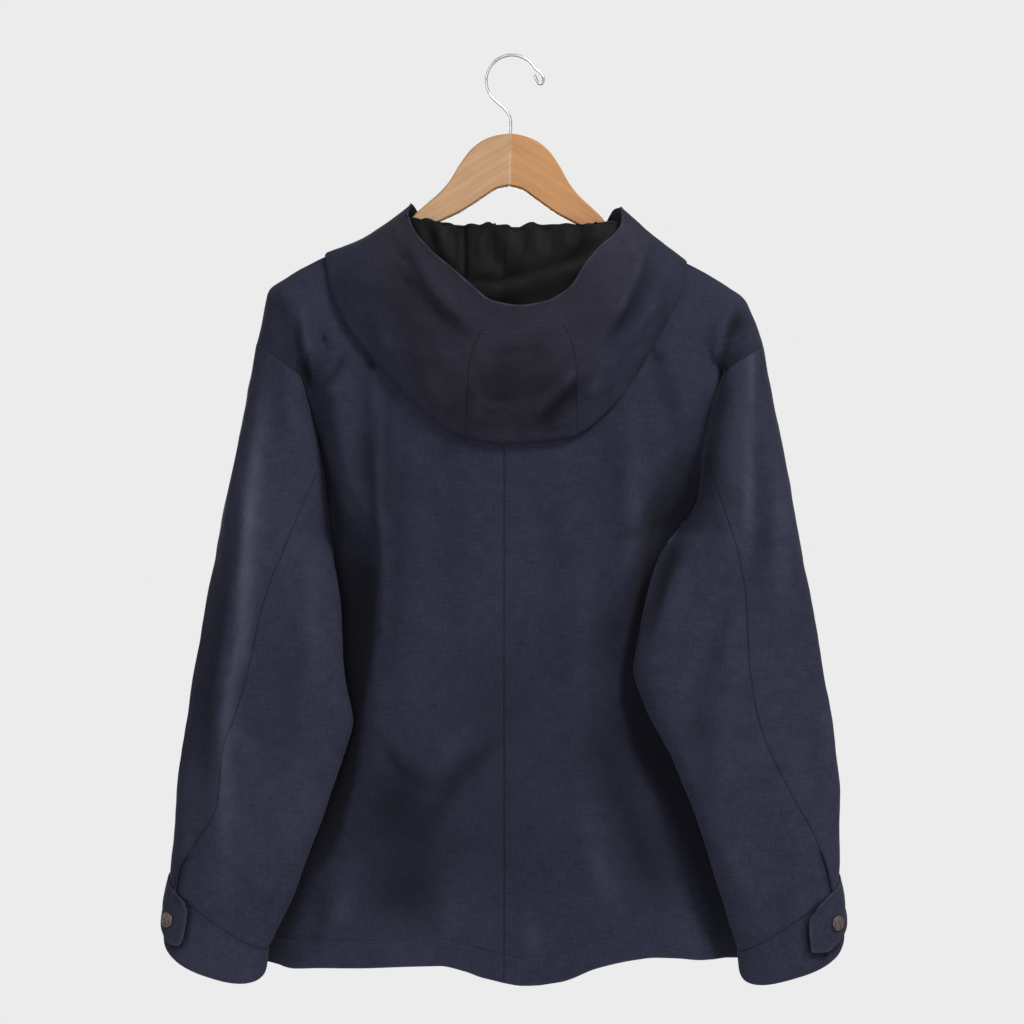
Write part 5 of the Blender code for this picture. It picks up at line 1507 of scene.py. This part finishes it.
PLACKET = Table("along z half", (
    (0.00, -262, 9), (0.05, -292, 28), (0.09, -320, 28), (1.00, -902, 28)))
PLACKET_LONG = 640          # millimetres
CLEAR = 0.5                 # millimetres between a folded strip and the cloth under it
SEAM_MISS = 0.2 * MM        # keeps its columns off the fronts' exact meeting line
PLACKET_SHARES = np.concatenate([[-1, -0.97, -0.9], np.linspace(-0.78, 0.78, 11), [0.9, 0.97, 1]])
PLACKET_SEAMS = (3, -4)     # the columns of its two rows of stitches


def on_front(tree, x, z, above):
    """The place that lies over the front of some cloth, and the way the cloth faces there."""
    hit, normal, _, _ = tree.ray_cast(Vector((x, -0.3, z)), Vector(OUTWARDS))
    return hit + normal * above, normal


placket_grid = []
for along in steps(0, 1, 0.009, (0, 1), PLACKET_LONG):
    half, z = PLACKET.at(along, "half"), PLACKET.at(along, "z")
    placket_grid.append([
        on_front(body_tree, CENTRE_X + share * half + SEAM_MISS, z, CLOTH + CLEAR * MM)[0]
        for share in PLACKET_SHARES])
placket_grid = eased(np.array(placket_grid), 3)
placket = Cloth()
placket.add(placket_grid, placket_grid[..., (0, 2)], "placket", True)
placket.settle()
placket_runs = [placket.found(placket_grid[:, k]) for k in PLACKET_SEAMS]
height = wavered(placket.points, 0.3 * MM, 60, 8)
for run in placket_runs:
    height[run] -= SEAM_SINK
placket.move(height)
sewn(placket, "placket", body_twill, "body_cloth", (0.056, 0.64), 0.0355, placket_runs)

# ---------------------------------------------------------------- the cuff tabs
# The overlapping end of each cuff, of the sleeves' twill folded double: a tab with cut
# corners that wraps the outer edge, stitched round and held by a snap. Its end curls up.

TAB_WIDE = 34               # millimetres down the sleeve
END_CURL, LOW_CURL = 0.13, 0.2      # how much of the tab stands off at its end, and low down
CURL_HIGH, LOW_SHARE = 2.6, 0.7     # millimetres that its end lifts, and the low edge's share
tab_trees = {}
for side in SIDES:
    tab_grid = []
    for share in steps(0, TAB_LONG, 0.05, (0, TAB_LONG), TAB_WIDE):
        end = TAB_ENDS[side].at(share, "end")
        ends = np.linspace(TAB_FRONT, end, 44)
        ring = sleeve_ring(side, 1.0, (ends * math.pi) % (2 * math.pi), max(1e-6, share))
        stand = smooth((ends - end + END_CURL) / END_CURL)
        stand += LOW_SHARE * smooth((share - TAB_LONG + LOW_CURL) / LOW_CURL)
        tab_grid.append(laid(body_tree, ring, CLOTH + (CLEAR + CURL_HIGH * stand) * MM))
    tab = Cloth()
    tab_grid = np.array(tab_grid)
    tab.add(tab_grid, measured(tab_grid), f"cuff_tab_{side}", side == "left")
    tab.settle()
    tab.move(wavered(tab.points, 0.3 * MM, 60, 6))
    edge_run = np.concatenate([tab_grid[4, :-2], tab_grid[5:-5, -3], tab_grid[-5, -3::-1]])
    sewn(tab, f"cuff_tab_{side}", sleeve_twill_painted_lit, "sleeve_cloth", (0.088, 0.046), 0.0034,
         [tab.found(edge_run)])
    tab_trees[side] = tab.tree()

# ---------------------------------------------------------------- the snaps
# Pressed bronze caps with a low dome inside a rolled rim, tarnished in patches. Six close
# the front and one holds each cuff tab, each riveted through the cloth under it.

SNAP_RADIUS = 7.5 * MM
SNAP_TALL = 2.0 * MM
# From its foot over the rim to the dome's top: shares of the radius and of the height.
SNAP_FORM = ((1.0, 0.0), (1.02, 0.3), (1.0, 0.62), (0.955, 0.86), (0.89, 0.94), (0.82, 0.80),
             (0.76, 0.74), (0.70, 0.86), (0.60, 1.04), (0.45, 1.16), (0.28, 1.22), (0.0, 1.24))
SNAP_COUNT, SNAP_TOP_Z, SNAP_LOW_Z = 6, -300 * MM, -870 * MM
SNAP_SEAT = 0.2 * MM        # from the cloth to the cap's rim


def bronze_dye():
    made, dye = material("aged_bronze", {"Metallic": 0.85})
    where = dye.where()
    tarnish = dye.speckle(where, 420.0, 3.0, 0.6)
    scratch = dye.speckle(dye.stretched(where, (900, 300, 2600)), 1.0)
    tone = (0.5 + 1.2 * tarnish + 0.3 * scratch).limited()
    dye.finish({"Base Color": dye.blend(tone, (0.045, 0.037, 0.033, 1), (0.20, 0.165, 0.145, 1)),
                "Roughness": (0.36 + 0.2 * tarnish).limited(0.2, 0.7),
                "Normal": dye.bump(tarnish, 0.15 * MM, 0.4)})
    return made


def ring_faces(count, rings):
    """Square faces between rings that have count points each."""
    faces = []
    for low in range(0, (rings - 1) * count, count):
        high = low + count
        for k in range(count):
            j = (k + 1) % count
            faces.append((low + k, low + j, high + j, high + k))
    return faces


def fitted(node, ending, verts, faces, finish, sharp=60):
    """A hard part, in its node's place on the frame."""
    data = bpy.data.meshes.new(f"{node}_{ending}")
    data.from_pydata(verts, [], faces)
    made = shaded(data, finish, sharp)
    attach(made, "root")
    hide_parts(node)


bronze = bronze_dye()


def snap_cap(node, place, normal):
    """A cap, turned to lie on the cloth under it."""
    turn = normal.to_track_quat("Z", "Y").to_matrix()
    around = angles_round(40)
    count = len(around)
    verts = [place + turn @ Vector((radius * SNAP_RADIUS * math.cos(a),
                                    radius * SNAP_RADIUS * math.sin(a), tall * SNAP_TALL))
             for radius, tall in SNAP_FORM[:-1] for a in around]
    last = len(verts) - count
    faces = ring_faces(count, len(SNAP_FORM) - 1)
    faces += [(last + k, last + (k + 1) % count, len(verts)) for k in range(count)]
    faces.append(tuple(range(count))[::-1])
    verts.append(place + turn @ Vector((0, 0, SNAP_FORM[-1][1] * SNAP_TALL)))
    fitted(node, "cap", verts, faces, bronze)


placket_tree = placket.tree()
for k in range(SNAP_COUNT):
    z = mix(SNAP_TOP_Z, SNAP_LOW_Z, k / (SNAP_COUNT - 1))
    snap_cap(f"placket_snap_{k + 1}", *on_front(placket_tree, CENTRE_X + 0.5 * MM, z, SNAP_SEAT))
for side in SIDES:
    low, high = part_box(f"cuff_snap_{side}")
    near, normal, _, _ = tab_trees[side].find_nearest((low + high) / 2)
    snap_cap(f"cuff_snap_{side}", near + normal * SNAP_SEAT, normal)

# ---------------------------------------------------------------- the hanger
# Two arms of pale hardwood, sawn to a curve and jointed in the middle, so that the
# grain meets in a chevron. The edges are eased and the wood is lacquered.

ARM = Table("x top low", (
    (0, -77, -130), (12, -79, -133), (26, -84, -142), (39, -94, -151), (50, -109, -158),
    (60, -126, -163), (70, -138, -168), (82, -149, -174), (93, -159, -181), (99, -167, -185),
    (106, -178, -192), (116, -184, -197), (130, -188, -202), (165, -203, -221), (200, -219, -238),
    (220, -233, -248), (229, -240, -248)))
EASED_EDGE = ((6, 2.5), (5.4, 1.3), (4.5, 0.45), (3.5, 0))      # y, and how far it draws in
EASED = [(-y, shrink) for y, shrink in EASED_EDGE] + [*EASED_EDGE[::-1]]
ARM_JOINT = 0.12            # half the hairline between the two arms
ARM_END = 229               # the end's last few millimetres are rounded too
END_ROUND = 6
GRAIN_SLOPE = 0.62


def wood_dye():
    """Maple whose grain slopes down each arm. The right arm is a more saturated amber; the left
    one's paler colour is partly a painted highlight.
    """
    made, dye = material("lacquered_maple", {"Coat Roughness": 0.3, "Specular IOR Level": 0.4})
    where = dye.where()
    x, y, z = dye.parts(where)
    out = dye.node("ShaderNodeMath", {"operation": "ABSOLUTE"}, {0: x})
    across = z + out * GRAIN_SLOPE
    along = out - z * GRAIN_SLOPE

    def grain(drawn_out):
        return dye.node("ShaderNodeCombineXYZ", None, {0: across, 1: y, 2: along * drawn_out})

    rings = dye.speckle(grain(0.05), 190.0, 4.0, 0.6)
    fibre = dye.speckle(grain(0.03), 1500.0)
    patch = dye.speckle(where, 14.0, 2.0)
    tone = (0.5 + 0.9 * rings + 0.25 * fibre + 0.5 * patch).limited()
    pale = dye.blend(tone, (0.42, 0.210, 0.086, 1), (0.61, 0.360, 0.175, 1))
    amber = dye.blend(tone, (0.41, 0.165, 0.045, 1), (0.585, 0.275, 0.080, 1))
    # The left arm's paler colour is partly a painted highlight.
    right_arm = (0.5 - x * 900).limited()
    dye.finish({"Base Color": dye.blend(right_arm, pale, amber),
                "Roughness": (0.42 + 0.1 * rings).limited(0.25, 0.7),
                "Coat Weight": (0.25 + 0.1 * patch).limited(),
                "Normal": dye.bump(0.5 * rings + fibre, 0.12 * MM, 0.35)})
    return made


maple = wood_dye()
xs = np.concatenate([[ARM_JOINT], np.linspace(1, ARM_END, 153)])
for side, sign in SIDES.items():
    outline = [(x, ARM.at(x, "top"), -1) for x in xs] + [(x, ARM.at(x, "low"), 1) for x in xs[::-1]]
    verts = []
    for y, shrink in EASED:
        for x, z, inward in outline:
            end = shrink * smooth((x - ARM_END + END_ROUND) / END_ROUND)
            px, pz = tilted(sign * (x - end) * MM, z + inward * shrink * MM)
            verts.append((px, y * MM, pz))
    size = len(outline)
    faces = ring_faces(size, len(EASED))
    for ring in (0, len(EASED) - 1):
        first, last = ring * size, ring * size + size - 1
        for k in range(len(xs) - 1):
            face = (first + k, first + k + 1, last - 1 - k, last - k)
            faces.append(face if ring == 0 else face[::-1])
    if side == "right":
        faces = [face[::-1] for face in faces]
    fitted(f"hanger_{side}", "wood", verts, faces, maple, 50)

# ---------------------------------------------------------------- the hook
# Drawn steel wire, bare and a little dull in places. It is screwed into the arms' joint,
# bent round the crown and turned back in an eye, so that its end cannot snag.


def steel_dye():
    made, dye = material("drawn_steel", {"Metallic": 1.0})
    dull = dye.speckle(dye.where(), 160.0, 3.0)
    tone = (0.5 + dull).limited()
    dye.finish({"Base Color": dye.blend(tone, (0.34, 0.33, 0.32, 1), (0.56, 0.55, 0.53, 1)),
                "Roughness": (0.26 + 0.12 * dull).limited(0.12, 0.5)})
    return made


WIRE, CROWN = 1.6, 26       # millimetres: the wire's radius, and the crown's to its middle
WIRE_SIDES, WIRE_RINGS = 14, 220
SHANK_LOW, SHANK_TOP = -97, -64     # millimetres: in the wood, and the top of its straight part
SHANK_BEND = (3.5, -31)     # millimetres aside of that, and under the crown's middle
CROWN_TURN = (228, 28)      # degrees round the crown that the wire runs
# The eye's bends, in millimetres across and up from the crown's end.
EYE = ((-5, -4), (-8.5, -9.5), (-8, -15), (-4.5, -16), (-1.5, -11.5), (0.8, -6))
EYE_STEP_ASIDE = 3.6        # so that the wire passes beside itself
low_x, low_z = tilted(0, SHANK_LOW * MM)
top_x, top_z = tilted(0, SHANK_TOP * MM)
centre_z = (WIRE - CROWN) * MM
aside, under = SHANK_BEND
route = [(low_x, 0, low_z), (top_x, 0, top_z), (top_x + aside * MM, 0, centre_z + under * MM)]
for angle in np.linspace(*np.radians(CROWN_TURN), 33):
    route.append((-CROWN * MM * math.cos(angle), 0, centre_z + CROWN * MM * math.sin(angle)))
last = np.array(route[-1])
for k, (x, z) in enumerate(EYE):
    route.append(tuple(last + np.array((x, EYE_STEP_ASIDE * k / (len(EYE) - 1), z)) * MM))
bend, length = curve("x y z", route)
line = bend.point(np.linspace(0, length, WIRE_RINGS))
for _ in range(12):
    line[1:-1] += 0.5 * ((line[:-2] + line[2:]) / 2 - line[1:-1])
verts = []
for k, place in enumerate(line):
    ahead = line[min(k + 1, len(line) - 1)] - line[max(k - 1, 0)]
    ahead /= np.linalg.norm(ahead)
    aside = np.cross(ahead, OUTWARDS)
    aside /= np.linalg.norm(aside)
    over = np.cross(aside, ahead)
    for a in angles_round(WIRE_SIDES):
        verts.append(tuple(place + (aside * math.cos(a) + over * math.sin(a)) * WIRE * MM))
faces = ring_faces(WIRE_SIDES, WIRE_RINGS)
faces.append(tuple(range(WIRE_SIDES))[::-1])
faces.append(tuple(range(len(verts) - WIRE_SIDES, len(verts))))
fitted("hook", "wire", verts, faces, steel_dye())
